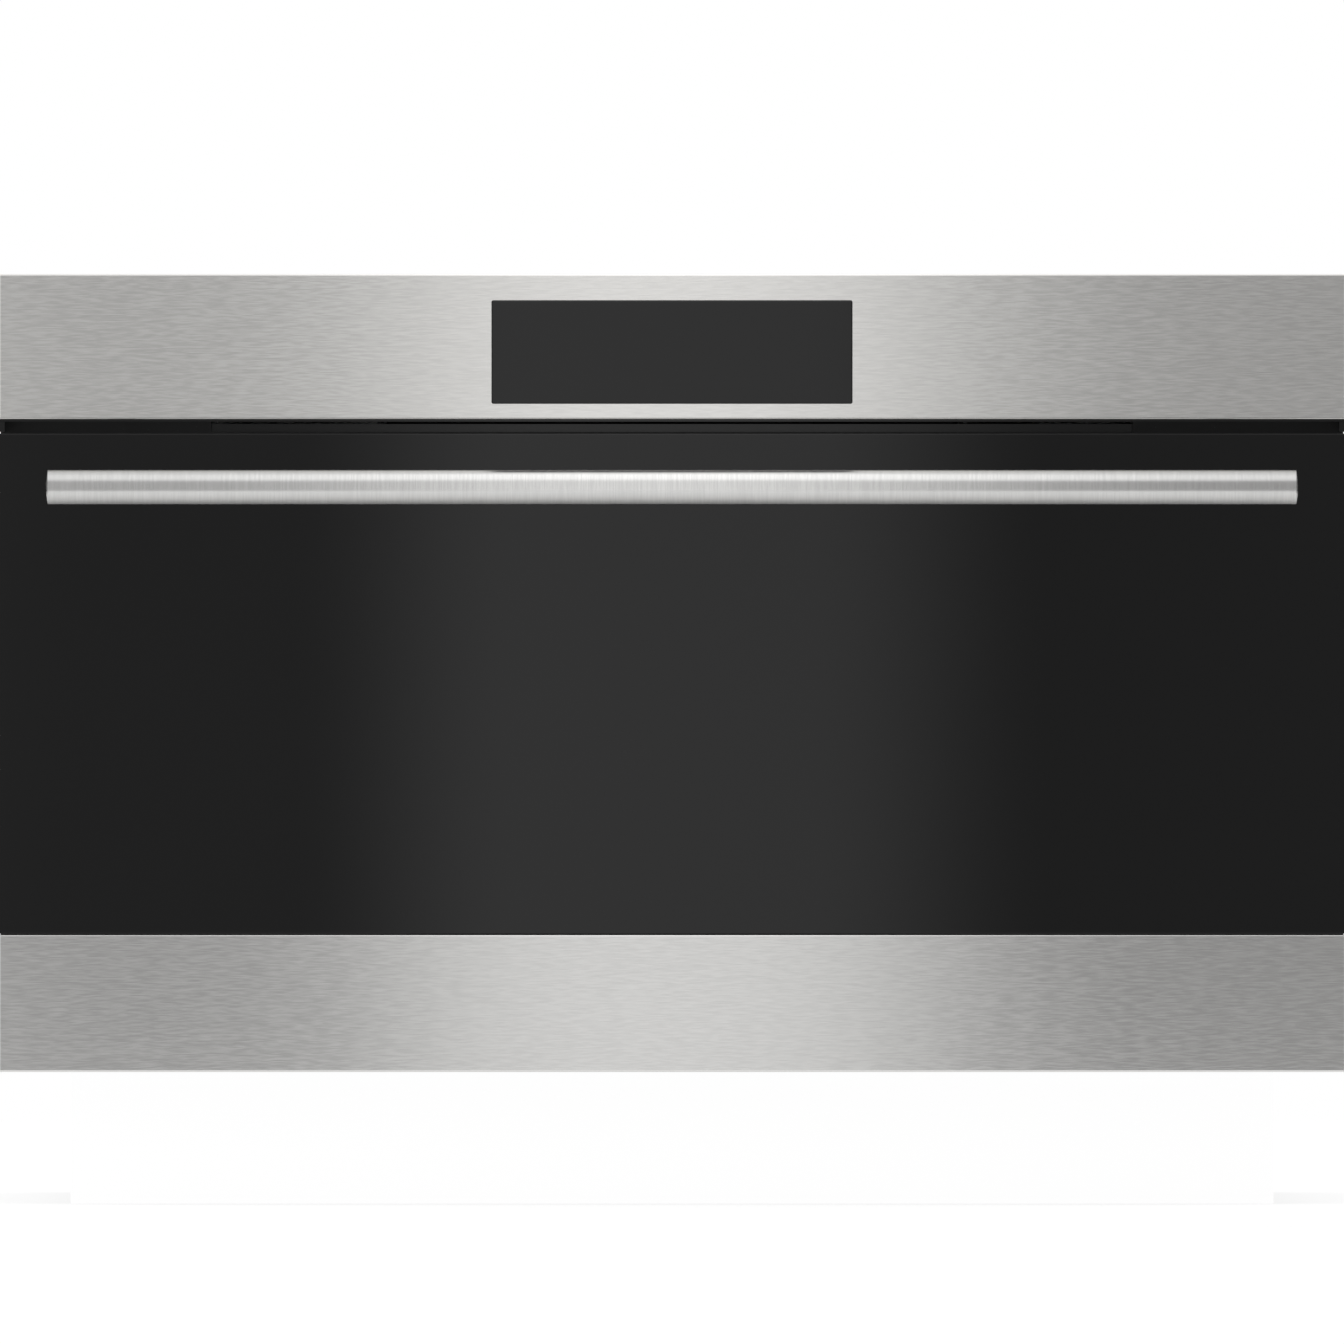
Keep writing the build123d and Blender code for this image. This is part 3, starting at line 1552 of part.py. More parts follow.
# Magnetron: mounting plate, yoke, anode, cooling fins, filter box and antenna
magnetron_plate_t = 2.0
yoke_height = 66.0
yoke_depth = 80.0
yoke_t = 2.5
anode_r = 19.0
fin_count = 7
fin_t = 0.8
filter_height = 32.0
filter_size = 52.0
half_magnetron = magnetron_width / 2
yoke_z0 = waveguide_z1 + magnetron_plate_t
yoke_z1 = yoke_z0 + yoke_height
fin_pitch = (yoke_height - 2 * yoke_t) / (fin_count + 1)

with BuildPart() as magnetron:
    block(
        magnetron_x - half_magnetron,
        magnetron_x + half_magnetron,
        stirrer_y - half_waveguide,
        stirrer_y + half_waveguide,
        waveguide_z1,
        yoke_z0,
    )
    rod_z(magnetron_x, stirrer_y, waveguide_z1 - antenna_length, yoke_z0, antenna_r)
    block(
        magnetron_x - half_magnetron,
        magnetron_x + half_magnetron,
        stirrer_y - yoke_depth / 2,
        stirrer_y + yoke_depth / 2,
        yoke_z0,
        yoke_z1,
    )
    block(
        magnetron_x - half_magnetron + yoke_t,
        magnetron_x + half_magnetron - yoke_t,
        stirrer_y - yoke_depth / 2,
        stirrer_y + yoke_depth / 2,
        yoke_z0 + yoke_t,
        yoke_z1 - yoke_t,
        mode=Mode.SUBTRACT,
    )
    rod_z(magnetron_x, stirrer_y, yoke_z0, yoke_z1, anode_r)
    for i in range(fin_count):
        z = yoke_z0 + yoke_t + (i + 1) * fin_pitch
        block(
            magnetron_x - half_magnetron + yoke_t,
            magnetron_x + half_magnetron - yoke_t,
            stirrer_y - yoke_depth / 2 + yoke_t,
            stirrer_y + yoke_depth / 2 - yoke_t,
            z - fin_t / 2,
            z + fin_t / 2,
        )
    block(
        magnetron_x - filter_size / 2,
        magnetron_x + filter_size / 2,
        stirrer_y - filter_size / 2,
        stirrer_y + filter_size / 2,
        yoke_z1,
        yoke_z1 + filter_height,
    )
magnetron.part.label = "magnetron"
export_step(magnetron.part, "parts/magnetron.step")

# Inverter board: high-voltage supply on standoffs at the right of the base
inverter_length = 170.0
inverter_lift = 10.0
inverter_y1 = chassis_depth - inverter_setback
inverter_y0 = inverter_y1 - inverter_length
inverter_x0 = magnetron_x - half_magnetron
inverter_x1 = magnetron_x + half_magnetron
inverter_z = shell_t + inverter_lift
transformer_size = 56.0
transformer_height = 44.8
heatsink_y0 = inverter_y0 + 12.0
heatsink_base_t = 4.5
heatsink_fins = 7
heatsink_fin_t = 1.5
heatsink_height = 34.0
heatsink_depth = 64.0
capacitor_r = 11.0
capacitor_h = 30.0

with BuildPart() as inverter_board:
    block(inverter_x0, inverter_x1, inverter_y0, inverter_y1, inverter_z, inverter_z + board_t)
    for x in (inverter_x0 + 2 * standoff_r, inverter_x1 - 2 * standoff_r):
        for y in (inverter_y0 + 2 * standoff_r, inverter_y1 - 2 * standoff_r):
            rod_z(x, y, shell_t, inverter_z, standoff_r)
    board_top = inverter_z + board_t
    block(
        magnetron_x - transformer_size / 2,
        magnetron_x + transformer_size / 2,
        inverter_y1 - transformer_size - standoff_r,
        inverter_y1 - standoff_r,
        board_top,
        board_top + transformer_height,
    )
    block(
        magnetron_x - transformer_size / 2,
        magnetron_x + transformer_size / 2,
        heatsink_y0,
        heatsink_y0 + heatsink_depth,
        board_top,
        board_top + heatsink_base_t,
    )
    for i in range(heatsink_fins):
        x = magnetron_x + (i / (heatsink_fins - 1) - 0.5) * (transformer_size - heatsink_fin_t)
        block(
            x - heatsink_fin_t / 2,
            x + heatsink_fin_t / 2,
            heatsink_y0,
            heatsink_y0 + heatsink_depth,
            board_top,
            board_top + heatsink_height,
        )
    rod_z(
        magnetron_x,
        heatsink_y0 + heatsink_depth + capacitor_r + standoff_r,
        board_top,
        board_top + capacitor_h,
        capacitor_r,
    )
inverter_board.part.label = "inverter_board"
export_step(inverter_board.part, "parts/inverter_board.step")

# Blower housing: end plates on the insulation, with the scroll between them
scroll_t = 1.5
scroll_gap = 4.0
scroll_r = blower_r + scroll_gap
plate_rim = 10.5
plate_top_rim = 2.0
plate_y0 = blower_y - scroll_r - plate_rim
plate_y1 = blower_y + scroll_r + plate_rim
plate_z1 = blower_z + scroll_r + plate_top_rim
intake_half = 0.7 * scroll_r

with BuildPart() as blower_housing:
    with BuildSketch(side_plane(-blower_half_length)):
        with Locations((blower_y, blower_z)):
            Circle(scroll_r + scroll_t)
        rect(plate_y0, blower_y, duct_z0, duct_z1)
        with Locations((blower_y, blower_z)):
            Circle(scroll_r, mode=Mode.SUBTRACT)
        rect(plate_y0, blower_y, duct_z0 + duct_t, duct_z1 - duct_t, mode=Mode.SUBTRACT)
        rect(
            blower_y - intake_half,
            blower_y + intake_half,
            blower_z + scroll_r / 2,
            blower_z + 2 * scroll_r,
            mode=Mode.SUBTRACT,
        )
    extrude(amount=2 * blower_half_length)
    for x in (-blower_half_length - scroll_t, blower_half_length):
        block(x, x + scroll_t, plate_y0, plate_y1, blanket_top, plate_z1)
        rod_x(blower_y, blower_z, x, x + scroll_t, shaft_r + running_fit, mode=Mode.SUBTRACT)
blower_housing.part.label = "blower_housing"
export_step(blower_housing.part, "parts/blower_housing.step")

# Blower rotor: long drum of blades between discs, on one shaft
rotor_end_gap = 4.0
rotor_half = blower_half_length - rotor_end_gap
disc_t = 1.2
drum_discs = 5
drum_blade_depth = 7.0
rotor_shaft_x1 = blower_half_length + scroll_t + shaft_in_motor
rotor_shaft_x0 = -blower_half_length - scroll_t

with BuildPart() as blower_rotor:
    rod_x(blower_y, blower_z, rotor_shaft_x0, rotor_shaft_x1, shaft_r)
    for i in range(drum_discs):
        x = -rotor_half + i * (2 * rotor_half - disc_t) / (drum_discs - 1)
        rod_x(blower_y, blower_z, x, x + disc_t, blower_r)
    with BuildSketch(side_plane(-rotor_half)):
        with Locations((blower_y, blower_z)):
            with PolarLocations(blower_r - drum_blade_depth / 2 - disc_t, blower_blades):
                Rectangle(drum_blade_depth, blade_t)
    extrude(amount=2 * rotor_half)
blower_rotor.part.label = "blower_rotor"
export_step(blower_rotor.part, "parts/blower_rotor.step")

# Blower motor: on the right end plate
blower_motor_r = 24.0
blower_motor_length = 42.0
blower_motor_x = blower_half_length + scroll_t

with BuildPart() as blower_motor:
    rod_x(
        blower_y,
        blower_z,
        blower_motor_x,
        blower_motor_x + blower_motor_length,
        blower_motor_r,
    )
    rod_x(
        blower_y,
        blower_z,
        blower_motor_x,
        rotor_shaft_x1 + running_gap,
        shaft_r + running_fit,
        mode=Mode.SUBTRACT,
    )
blower_motor.part.label = "blower_motor"
export_step(blower_motor.part, "parts/blower_motor.step")

# Air duct: flat channel from the blower to the vent gap, on two skirts
with BuildPart() as air_duct:
    block(-duct_half, duct_half, 0, plate_y0, duct_z0, duct_z1)
    block(
        -duct_half + duct_t,
        duct_half - duct_t,
        0,
        plate_y0,
        duct_z0 + duct_t,
        duct_z1 - duct_t,
        mode=Mode.SUBTRACT,
    )
    for x in (-duct_half, duct_half - duct_t):
        block(x, x + duct_t, blanket_y0 + liner_lip, plate_y0, blanket_top, duct_z0)
air_duct.part.label = "air_duct"
export_step(air_duct.part, "parts/air_duct.step")

# Power board: relays and the line filter, on the duct
power_inset = 20.0
power_width = 190.0
power_lift = 8.0
power_x0 = -duct_half + power_inset
power_x1 = power_x0 + power_width
power_y0 = 40.0
power_y1 = 200.0
power_z = duct_z1 + power_lift
relay_length = 24.0
relay_width = 14.0
relay_height = 20.0
relay_pitch = 36.0
relay_count = 4

with BuildPart() as power_board:
    block(power_x0, power_x1, power_y0, power_y1, power_z, power_z + board_t)
    for x in (power_x0 + 2 * standoff_r, power_x1 - 2 * standoff_r):
        for y in (power_y0 + 2 * standoff_r, power_y1 - 2 * standoff_r):
            rod_z(x, y, duct_z1, power_z, standoff_r)
    with BuildSketch(Plane.XY.offset(power_z + board_t)):
        with Locations(((power_x0 + power_x1) / 2, power_y0 + relay_pitch)):
            with GridLocations(relay_pitch, relay_pitch, relay_count, 1):
                Rectangle(relay_length, relay_width)
        with Locations(((power_x0 + power_x1) / 2, power_y1 - relay_pitch)):
            with GridLocations(2 * relay_pitch, relay_pitch, 2, 1):
                Rectangle(relay_pitch, relay_pitch)
    extrude(amount=relay_height)
power_board.part.label = "power_board"
export_step(power_board.part, "parts/power_board.step")

# Lamp: housing outside the left wall, bulb in its socket, and the lens inside
lamp_depth = 48.0
lamp_t = 1.5
socket_r = 10.0
socket_depth = 16.0
bulb_r = 8.0
bulb_length = 24.0
lens_r = lamp_hole_r + 4.0
lens_t = 3.5
lamp_back = -liner_x - lamp_depth

with BuildPart() as lamp_housing:
    rod_x(lamp_y, lamp_z, lamp_back, -liner_x, lamp_housing_r)
    rod_x(
        lamp_y,
        lamp_z,
        lamp_back + lamp_t,
        -liner_x,
        lamp_housing_r - lamp_t,
        mode=Mode.SUBTRACT,
    )
    rod_x(lamp_y, lamp_z, lamp_back, lamp_back + socket_depth, socket_r)
lamp_housing.part.label = "lamp_housing"
export_step(lamp_housing.part, "parts/lamp_housing.step")

with BuildPart() as lamp_bulb:
    bulb_x = lamp_back + socket_depth
    rod_x(lamp_y, lamp_z, bulb_x, bulb_x + bulb_length - bulb_r, bulb_r)
    with Locations((bulb_x + bulb_length - bulb_r, lamp_y, lamp_z)):
        Sphere(bulb_r)
lamp_bulb.part.label = "lamp_bulb"
export_step(lamp_bulb.part, "parts/lamp_bulb.step")

with BuildPart() as lamp_lens:
    rod_x(lamp_y, lamp_z, -half_cavity, -half_cavity + lens_t, lens_r)
    fillet(lamp_lens.edges().sort_by(Axis.X)[-1], radius=0.7 * lens_t)
lamp_lens.part.label = "lamp_lens"
export_step(lamp_lens.part, "parts/lamp_lens.step")
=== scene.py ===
# %% [markdown]
# A built-in speed oven, dressed for its photograph. The solids come from the CAD model with every
# piece in its place, so this lesson doesn't move or reshape them. It gives each one a finish,
# remakes the few pieces that Blender shapes better, and sets up the light and the camera.

# %% Load the oven
import math

import bmesh
import bpy
import numpy as np
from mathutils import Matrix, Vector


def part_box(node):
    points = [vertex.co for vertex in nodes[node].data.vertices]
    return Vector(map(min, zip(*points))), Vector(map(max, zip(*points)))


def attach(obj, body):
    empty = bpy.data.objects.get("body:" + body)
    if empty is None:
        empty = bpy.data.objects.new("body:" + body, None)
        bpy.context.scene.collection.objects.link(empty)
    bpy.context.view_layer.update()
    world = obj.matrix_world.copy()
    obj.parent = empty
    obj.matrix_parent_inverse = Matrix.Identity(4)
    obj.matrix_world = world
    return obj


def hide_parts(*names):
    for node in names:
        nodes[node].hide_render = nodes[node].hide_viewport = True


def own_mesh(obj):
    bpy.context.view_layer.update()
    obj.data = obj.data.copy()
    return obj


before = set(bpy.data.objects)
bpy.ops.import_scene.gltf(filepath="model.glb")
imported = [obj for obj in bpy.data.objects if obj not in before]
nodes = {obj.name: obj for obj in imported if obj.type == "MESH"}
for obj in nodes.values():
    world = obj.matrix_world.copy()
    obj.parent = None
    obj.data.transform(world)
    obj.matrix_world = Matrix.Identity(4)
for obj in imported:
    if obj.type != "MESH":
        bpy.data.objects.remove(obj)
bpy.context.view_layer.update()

scene = bpy.context.scene
scene.view_settings.view_transform = "Standard"

# %% [markdown]
# The photograph looks straight at the face from far away: no side shows, and the face fills the
# picture's width and one pixel more at each side. A very long lens a long way off does the same.
# An orthographic camera would too, but the side views need a camera that can back away from the
# oven.

# %% Camera
image_pixels = 1344
face_pixels = image_pixels + 2
face_top_pixel = 274
camera_distance = 22.0
sensor = 36.0

face_low, face_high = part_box("door_glass")
face_width = face_high.x - face_low.x
face_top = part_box("fascia")[1].z
metres_per_pixel = face_width / face_pixels
camera_height = face_top - (image_pixels / 2 - face_top_pixel) * metres_per_pixel

camera = bpy.data.objects.new("front_camera", bpy.data.cameras.new("front_camera"))
camera.location = (0, face_low.y - camera_distance, camera_height)
camera.rotation_euler = (math.radians(90), 0, 0)
camera.data.sensor_width = sensor
camera.data.lens = sensor * camera_distance / (metres_per_pixel * image_pixels)
camera.data.clip_end = 2 * camera_distance
scene.collection.objects.link(camera)
scene.camera = camera
print(f"camera at height {camera_height:.4f} m, lens {camera.data.lens:.0f} mm")

# %% [markdown]
# Shaders and Geometry Nodes are both graphs of nodes. A small class that wraps a socket lets
# Python's operators add the Math nodes, so a formula reads like a formula, and a second class has
# one method that adds any other node with its settings and its inputs.


# %% Graphs written as formulas
class Signal:
    """One socket of a graph. Python's operators on it add Math nodes."""

    def __init__(self, graph, socket):
        self.graph, self.socket = graph, socket

    def math(self, operation, *values):
        return self.graph.add("ShaderNodeMath", {"operation": operation}, dict(enumerate(values)))

    def __add__(self, other):
        return self.math("ADD", self, other)

    def __sub__(self, other):
        return self.math("SUBTRACT", self, other)

    def __rsub__(self, other):
        return self.math("SUBTRACT", other, self)

    def __mul__(self, other):
        return self.math("MULTIPLY", self, other)

    __radd__, __rmul__ = __add__, __mul__

    def above(self, edge):
        return self.math("GREATER_THAN", self, edge)

    def below(self, edge):
        return self.math("LESS_THAN", self, edge)

    def between(self, low, high):
        """0 at low, 1 at high, and a soft step from one to the other."""
        ends = {"Value": self, "From Min": low, "From Max": high}
        return self.graph.add("ShaderNodeMapRange", {"interpolation_type": "SMOOTHSTEP"}, ends)


class Graph:
    """A node tree with one method that adds any node."""

    def __init__(self, tree):
        self.tree = tree

    def add(self, kind, settings=None, values=None, out=0):
        node = self.tree.nodes.new(kind)
        for key, value in (settings or {}).items():
            setattr(node, key, value)
        for key, value in (values or {}).items():
            self.plug(node.inputs[key], value)
        return Signal(self, node.outputs[out])

    def plug(self, socket, value):
        if isinstance(value, Signal):
            self.tree.links.new(value.socket, socket)
        else:
            socket.default_value = value

    def vector(self, x=0.0, y=0.0, z=0.0):
        return self.add("ShaderNodeCombineXYZ", values={0: x, 1: y, 2: z})


print("graphs ready")

# %% [markdown]
# A finish is a Principled shader plus what varies over the surface. Its patterns read Object
# coordinates: every piece sits at the origin, so they are metres on the oven itself, and a noise
# that is stretched along one axis becomes the grain that a brush leaves in steel.


# %% Finishes
class Finish(Graph):
    """A material with a Principled shader. Constants go straight on the shader's sockets."""

    def __init__(self, name, **constants):
        self.material = bpy.data.materials.new(name)
        self.material.use_nodes = True
        super().__init__(self.material.node_tree)
        self.tree.nodes.clear()
        self.shader = self.tree.nodes.new("ShaderNodeBsdfPrincipled")
        output = self.tree.nodes.new("ShaderNodeOutputMaterial")
        self.tree.links.new(self.shader.outputs[0], output.inputs["Surface"])
        self.place = self.add("ShaderNodeTexCoord", out="Object")
        self.paint({key.replace("_", " "): value for key, value in constants.items()})

    def paint(self, values):
        for key, value in values.items():
            self.plug(self.shader.inputs[key], value)

    def axis(self, letter):
        return self.add("ShaderNodeSeparateXYZ", values={0: self.place}, out=letter)

    def scaled(self, scale):
        """Object coordinates, stretched: a number, or one number for each axis."""
        stretch = (scale,) * 3 if isinstance(scale, (int, float)) else scale
        return self.add("ShaderNodeMapping", values={"Vector": self.place, "Scale": stretch})

    def noise(self, scale, detail=2.0, roughness=0.5):
        values = {"Vector": self.scaled(scale), "Scale": 1.0, "Detail": detail,
                  "Roughness": roughness}
        return self.add("ShaderNodeTexNoise", values=values)

    def cells(self, scale, feature="F1", out="Distance"):
        values = {"Vector": self.scaled(scale), "Scale": 1.0}
        return self.add("ShaderNodeTexVoronoi", {"feature": feature}, values, out)

    def mix(self, factor, first, second):
        settings = {"data_type": "RGBA"}
        return self.add("ShaderNodeMix", settings, {0: factor, 6: first, 7: second}, 2)

    def shades(self, factor, colour, swing):
        """A colour that gets darker and lighter by swing as the factor goes from 0 to 1."""
        dark, light = ((*(c * k for c in colour), 1) for k in (1 - swing, 1 + swing))
        return self.mix(factor, dark, light)

    def bump(self, height, distance, strength=1.0):
        values = {"Height": height, "Distance": distance, "Strength": strength}
        return self.add("ShaderNodeBump", values=values)


def dress(finish, *names):
    """Gives CAD pieces a finish."""
    for name in names:
        slots = nodes[name].data.materials
        slots.clear()
        slots.append(finish.material)
    print(finish.material.name, "on", ", ".join(names))


print("finishes ready")

# %% [markdown]
# The fascia and the foot of the door are stainless steel brushed from side to side. A brush leaves
# straight lines under a millimetre apart. Each line gets a random number, and a noise that starts
# at this number breaks the line into strokes a few millimetres long. The strokes change the
# colour, the gloss and a very shallow bump together. The handle was turned while it was brushed,
# so its lines run round the bar, and its underside is dulled by fingers. The strip at the foot is
# one shade darker, as in the photograph. A thin line along the folded edges is painted lighter,
# a painted highlight where the bend would catch the light; at the foot of the fascia, where the
# bend turns to the dark gap, the line is painted darker instead, a painted shade.


# %% Brushed steel
lines_per_metre = 1500, 4300
straight_strokes, turned_strokes = 88, 60
fold_slope = 0.7
start_spread = 90
# Tones for the thin edge lines: a painted highlight along folded edges, and a painted shade along
# the fascia's foot.
edge_width, painted_highlight, shaded = 0.0011, 1.25, 0.75
dulled_from, dulled_below, dulled_gloss = 0.008, 0.003, 0.35
face_groove, bar_groove = 0.000002, 0.000004


def strokes(finish, across, along, per_metre):
    """Thin lines side by side, each broken into strokes by its own stretch of noise."""
    line = across.math("FLOOR", per_metre * across)
    random = finish.add("ShaderNodeTexWhiteNoise", {"noise_dimensions": "1D"}, {"W": line})
    start = start_spread * random
    place = finish.vector(start, *(start + position for position in along))
    return finish.add("ShaderNodeTexNoise", values={"Vector": place, "Scale": 1.0, "Detail": 1.0})


def brushed_steel(name, node, colour, roughness, swing, groove, foot=None, turned=False):
    """Steel with lines from side to side, or round the bar for a turned piece."""
    finish = Finish(name, Metallic=1.0)
    x, y, z = (finish.axis(letter) for letter in "XYZ")
    if turned:
        across, along = x, (turned_strokes * y, turned_strokes * z)
    else:
        across, along = z + fold_slope * y, (straight_strokes * x,)
    coarse, fine = (strokes(finish, across, along, lines) for lines in lines_per_metre)
    streak = 0.8 * coarse + 0.2 * fine
    tone = streak.between(0.3, 0.7)
    steel = finish.shades(tone, colour, swing)
    low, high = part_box(node)
    if turned:
        dulled = z.between(low.z + dulled_from, low.z + dulled_below)
        gloss = roughness + dulled_gloss * dulled
    else:
        # A thin line along the top and bottom edges is painted lighter (painted highlight), or
        # darker at the foot when foot is given (painted shade).
        upper, lower = z.above(high.z - edge_width), z.below(low.z + edge_width)
        for edge, share in ((upper, painted_highlight), (lower, foot or painted_highlight)):
            steel = finish.mix(edge, steel, (*(share * part for part in colour), 1))
        gloss = roughness + 0.04 * (tone - 0.5)
    finish.paint({"Base Color": steel, "Roughness": gloss, "Normal": finish.bump(streak, groove)})
    return finish


# foot=shaded paints the fascia's lower edge line darker: a painted shade where the bend faces the
# dark gap.
dress(brushed_steel("fascia_steel", "fascia", (0.645, 0.638, 0.622), 0.25, 0.062, face_groove,
                    foot=shaded), "fascia")
dress(brushed_steel("foot_steel", "door_trim", (0.545, 0.541, 0.531), 0.21, 0.068, face_groove),
      "door_trim")
dress(brushed_steel("bar_steel", "handle_bar", (0.600, 0.597, 0.588), 0.25, 0.05, bar_groove,
                    turned=True), "handle_bar", "handle_posts")

# %% [markdown]
# The door and the display are black glass: nearly no colour of their own, and a polished surface
# that shows the light in front of it. Perfectly even gloss looks false, so a slow noise lets the
# roughness drift a little, as the film left by wiping does. A thin grey line along the top edge
# is a painted highlight, where a bevelled edge would catch the light.


# %% Black glass
def black_glass(name, node):
    colour, roughness, highlight_width = (0.0025, 0.0025, 0.0026), 0.03, 0.0006
    finish = Finish(name, Specular_IOR_Level=0.32)
    film = finish.noise((7, 7, 22), 3.0)
    # A thin line along the top edge is painted light grey: a painted highlight.
    top_highlight = finish.axis("Z").above(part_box(node)[1].z - highlight_width)
    finish.paint({
        "Base Color": finish.mix(top_highlight, finish.shades(film, colour, 0.25), (0.016, 0.016, 0.016, 1)),
        "Roughness": roughness + 0.02 * film.between(0.35, 0.75),
    })
    return finish


for name in ("door_glass", "display_glass"):
    dress(black_glass("black_" + name, name), name)

# %% [markdown]
# The glass pane inside the door, the lamp's lens and its bulb are clear: a transmitting shader,
# with a faint bloom of cooking film that only changes the roughness. The lens has a pattern of
# small pillows on its back, made by Voronoi cells in the bump.


# %% Clear glass
def clear_glass(name, tint, pillow=0.0):
    finish = Finish(name, Transmission_Weight=1.0, IOR=1.46)
    film = finish.noise(18, 3.0)
    finish.paint({
        "Base Color": finish.shades(film, tint, 0.03),
        "Roughness": 0.01 + 0.05 * film.between(0.5, 0.8),
    })
    if pillow:
        finish.paint({"Normal": finish.bump(finish.cells(240, "SMOOTH_F1"), pillow)})
    return finish


dress(clear_glass("pane_glass", (0.93, 0.96, 0.95)), "door_inner_glass")
dress(clear_glass("lens_glass", (0.95, 0.96, 0.94), 0.0006), "lamp_lens")
dress(clear_glass("bulb_glass", (0.96, 0.96, 0.96)), "lamp_bulb")

# %% [markdown]
# The floor of the oven is a sheet of dark glass ceramic. It is smooth, with fine pale specks in
# the dark glass. The specks are the middles of Voronoi cells, cut off at a small radius.

# %% Glass ceramic floor
ceramic = Finish("ceramic_floor", Specular_IOR_Level=0.5)
speck = ceramic.cells(520).below(0.16)
drift = ceramic.noise(60, 3.0)
dark_glass = ceramic.shades(drift, (0.028, 0.027, 0.027), 0.2)
ceramic.paint({
    "Base Color": ceramic.mix(speck, dark_glass, (0.16, 0.16, 0.16, 1)),
    "Roughness": 0.10 + 0.06 * drift,
})
dress(ceramic, "floor_glass")

# %% [markdown]
# The oven's inside is satin stainless sheet. Rolled sheet has a fine grain in one direction, and
# an oven that is used has slow clouds of heat tint. Both are noise: one stretched, and one large
# and soft.


# %% Satin stainless
def satin_sheet(name, colour, roughness, grain):
    finish = Finish(name, Metallic=1.0)
    rolled = finish.noise(grain, 2.0)
    cloud = finish.noise(9, 3.0).between(0.35, 0.8)
    warm = finish.mix(0.35 * cloud, (1, 1, 1, 1), (0.93, 0.86, 0.74, 1))
    tone = finish.shades(rolled, colour, 0.08)
    tinted = finish.add("ShaderNodeMix", {"data_type": "RGBA", "blend_type": "MULTIPLY"},
                        {0: 1.0, 6: tone, 7: warm}, 2)
    finish.paint({
        "Base Color": tinted,
        "Roughness": roughness + 0.08 * (rolled - 0.5) + 0.06 * cloud,
        "Normal": finish.bump(rolled, 0.00003, 0.5),
    })
    return finish


dress(satin_sheet("cavity_sheet", (0.56, 0.56, 0.55), 0.30, (600, 30, 600)), "cavity_liner")
dress(satin_sheet("lamp_sheet", (0.50, 0.50, 0.49), 0.34, (400, 400, 60)), "lamp_housing")

# %% [markdown]
# The outer case is galvanised sheet. Zinc freezes on the steel in crystals about a centimetre
# across, the spangle, each with its own brightness. A Voronoi texture gives one random colour per
# cell, and its distance to the edge gives the thin line between two crystals.


# %% Galvanised sheet
def galvanised(name, colour, spangle):
    finish = Finish(name, Metallic=1.0)
    random_colour = finish.cells(spangle, out="Color")
    crystal = finish.add("ShaderNodeSeparateColor", values={0: random_colour}, out="Red")
    border = finish.cells(spangle, "DISTANCE_TO_EDGE").between(0.0, 0.06)
    frost = finish.noise(900, 2.0)
    level = 0.55 * crystal + 0.25 * frost + 0.2 * border
    finish.paint({
        "Base Color": finish.shades(level, colour, 0.14),
        "Roughness": 0.30 + 0.14 * crystal + 0.06 * frost,
        "Normal": finish.bump(border, 0.00004, 0.5),
    })
    return finish


case_sheet = galvanised("case_sheet", (0.50, 0.51, 0.52), 120)
duct_sheet = galvanised("duct_sheet", (0.54, 0.55, 0.56), 160)
dress(case_sheet, "side_panel_left", "side_panel_right", "top_cover", "rear_panel", "base_pan")
dress(duct_sheet, "fan_housing", "air_duct", "waveguide", "blower_housing", "interlock_brackets")

# %% [markdown]
# The front frame and the door's inside are steel with black enamel: dark, half glossy, with the
# soft ripple called orange peel and a few pale pin pricks where dust burnt in.


# %% Black enamel
def enamel(name, colour, roughness):
    finish = Finish(name, Specular_IOR_Level=0.5)
    peel = finish.noise(420, 1.0)
    cloud = finish.noise(14, 3.0)
    prick = finish.cells(260).below(0.07)
    black = finish.shades(cloud, colour, 0.3)
    finish.paint({
        "Base Color": finish.mix(0.5 * prick, black, (0.10, 0.10, 0.10, 1)),
        "Roughness": roughness + 0.10 * (cloud - 0.5),
        "Normal": finish.bump(peel, 0.00010, 0.35),
    })
    return finish


dress(enamel("frame_enamel", (0.014, 0.014, 0.014), 0.50), "front_frame")
dress(enamel("door_enamel", (0.020, 0.020, 0.021), 0.38),
      "door_frame", "door_back_cover", "choke_frame")

# %% [markdown]
# Plastic parts are moulded in black with a fine eroded texture, which scatters the light. The
# switch buttons are a brighter plastic so that a fitter can find them.


# %% Moulded plastic
def plastic(name, colour, roughness, texture=0.00006):
    finish = Finish(name, Specular_IOR_Level=0.4)
    grain = finish.noise(1600, 1.0)
    flow = finish.noise(25, 2.0)
    finish.paint({
        "Base Color": finish.shades(flow, colour, 0.15),
        "Roughness": roughness + 0.12 * (grain - 0.5),
        "Normal": finish.bump(grain, texture, 0.5),
    })
    return finish


outlet_plastic = plastic("outlet_plastic", (0.004, 0.004, 0.004), 0.16, 0.00001)
outlet_plastic.paint({"Specular IOR Level": 0.34})
dress(outlet_plastic, "air_outlet_trim")
dress(plastic("choke_plastic", (0.018, 0.018, 0.018), 0.45), "choke_cover")
dress(plastic("black_plastic", (0.025, 0.025, 0.026), 0.50),
      "cord_gland", "display_module", "interlock_switches", "blower_rotor")
dress(plastic("button_plastic", (0.60, 0.07, 0.05), 0.30),
      "switch_plunger_left", "switch_plunger_right")

# %% [markdown]
# Wire racks are chromed steel. The chrome is bright, with small frosted patches where it has been
# scrubbed, and the heating tubes are steel that has turned brown and blue-grey in the heat.


# %% Wires and heating tubes
chrome = Finish("rack_chrome", Metallic=1.0)
scrub = chrome.noise(70, 3.0).between(0.45, 0.75)
chrome.paint({
    "Base Color": chrome.mix(scrub, (0.74, 0.74, 0.74, 1), (0.62, 0.61, 0.58, 1)),
    "Roughness": 0.10 + 0.18 * scrub,
})
dress(chrome, "wire_rack", "rack_guides")

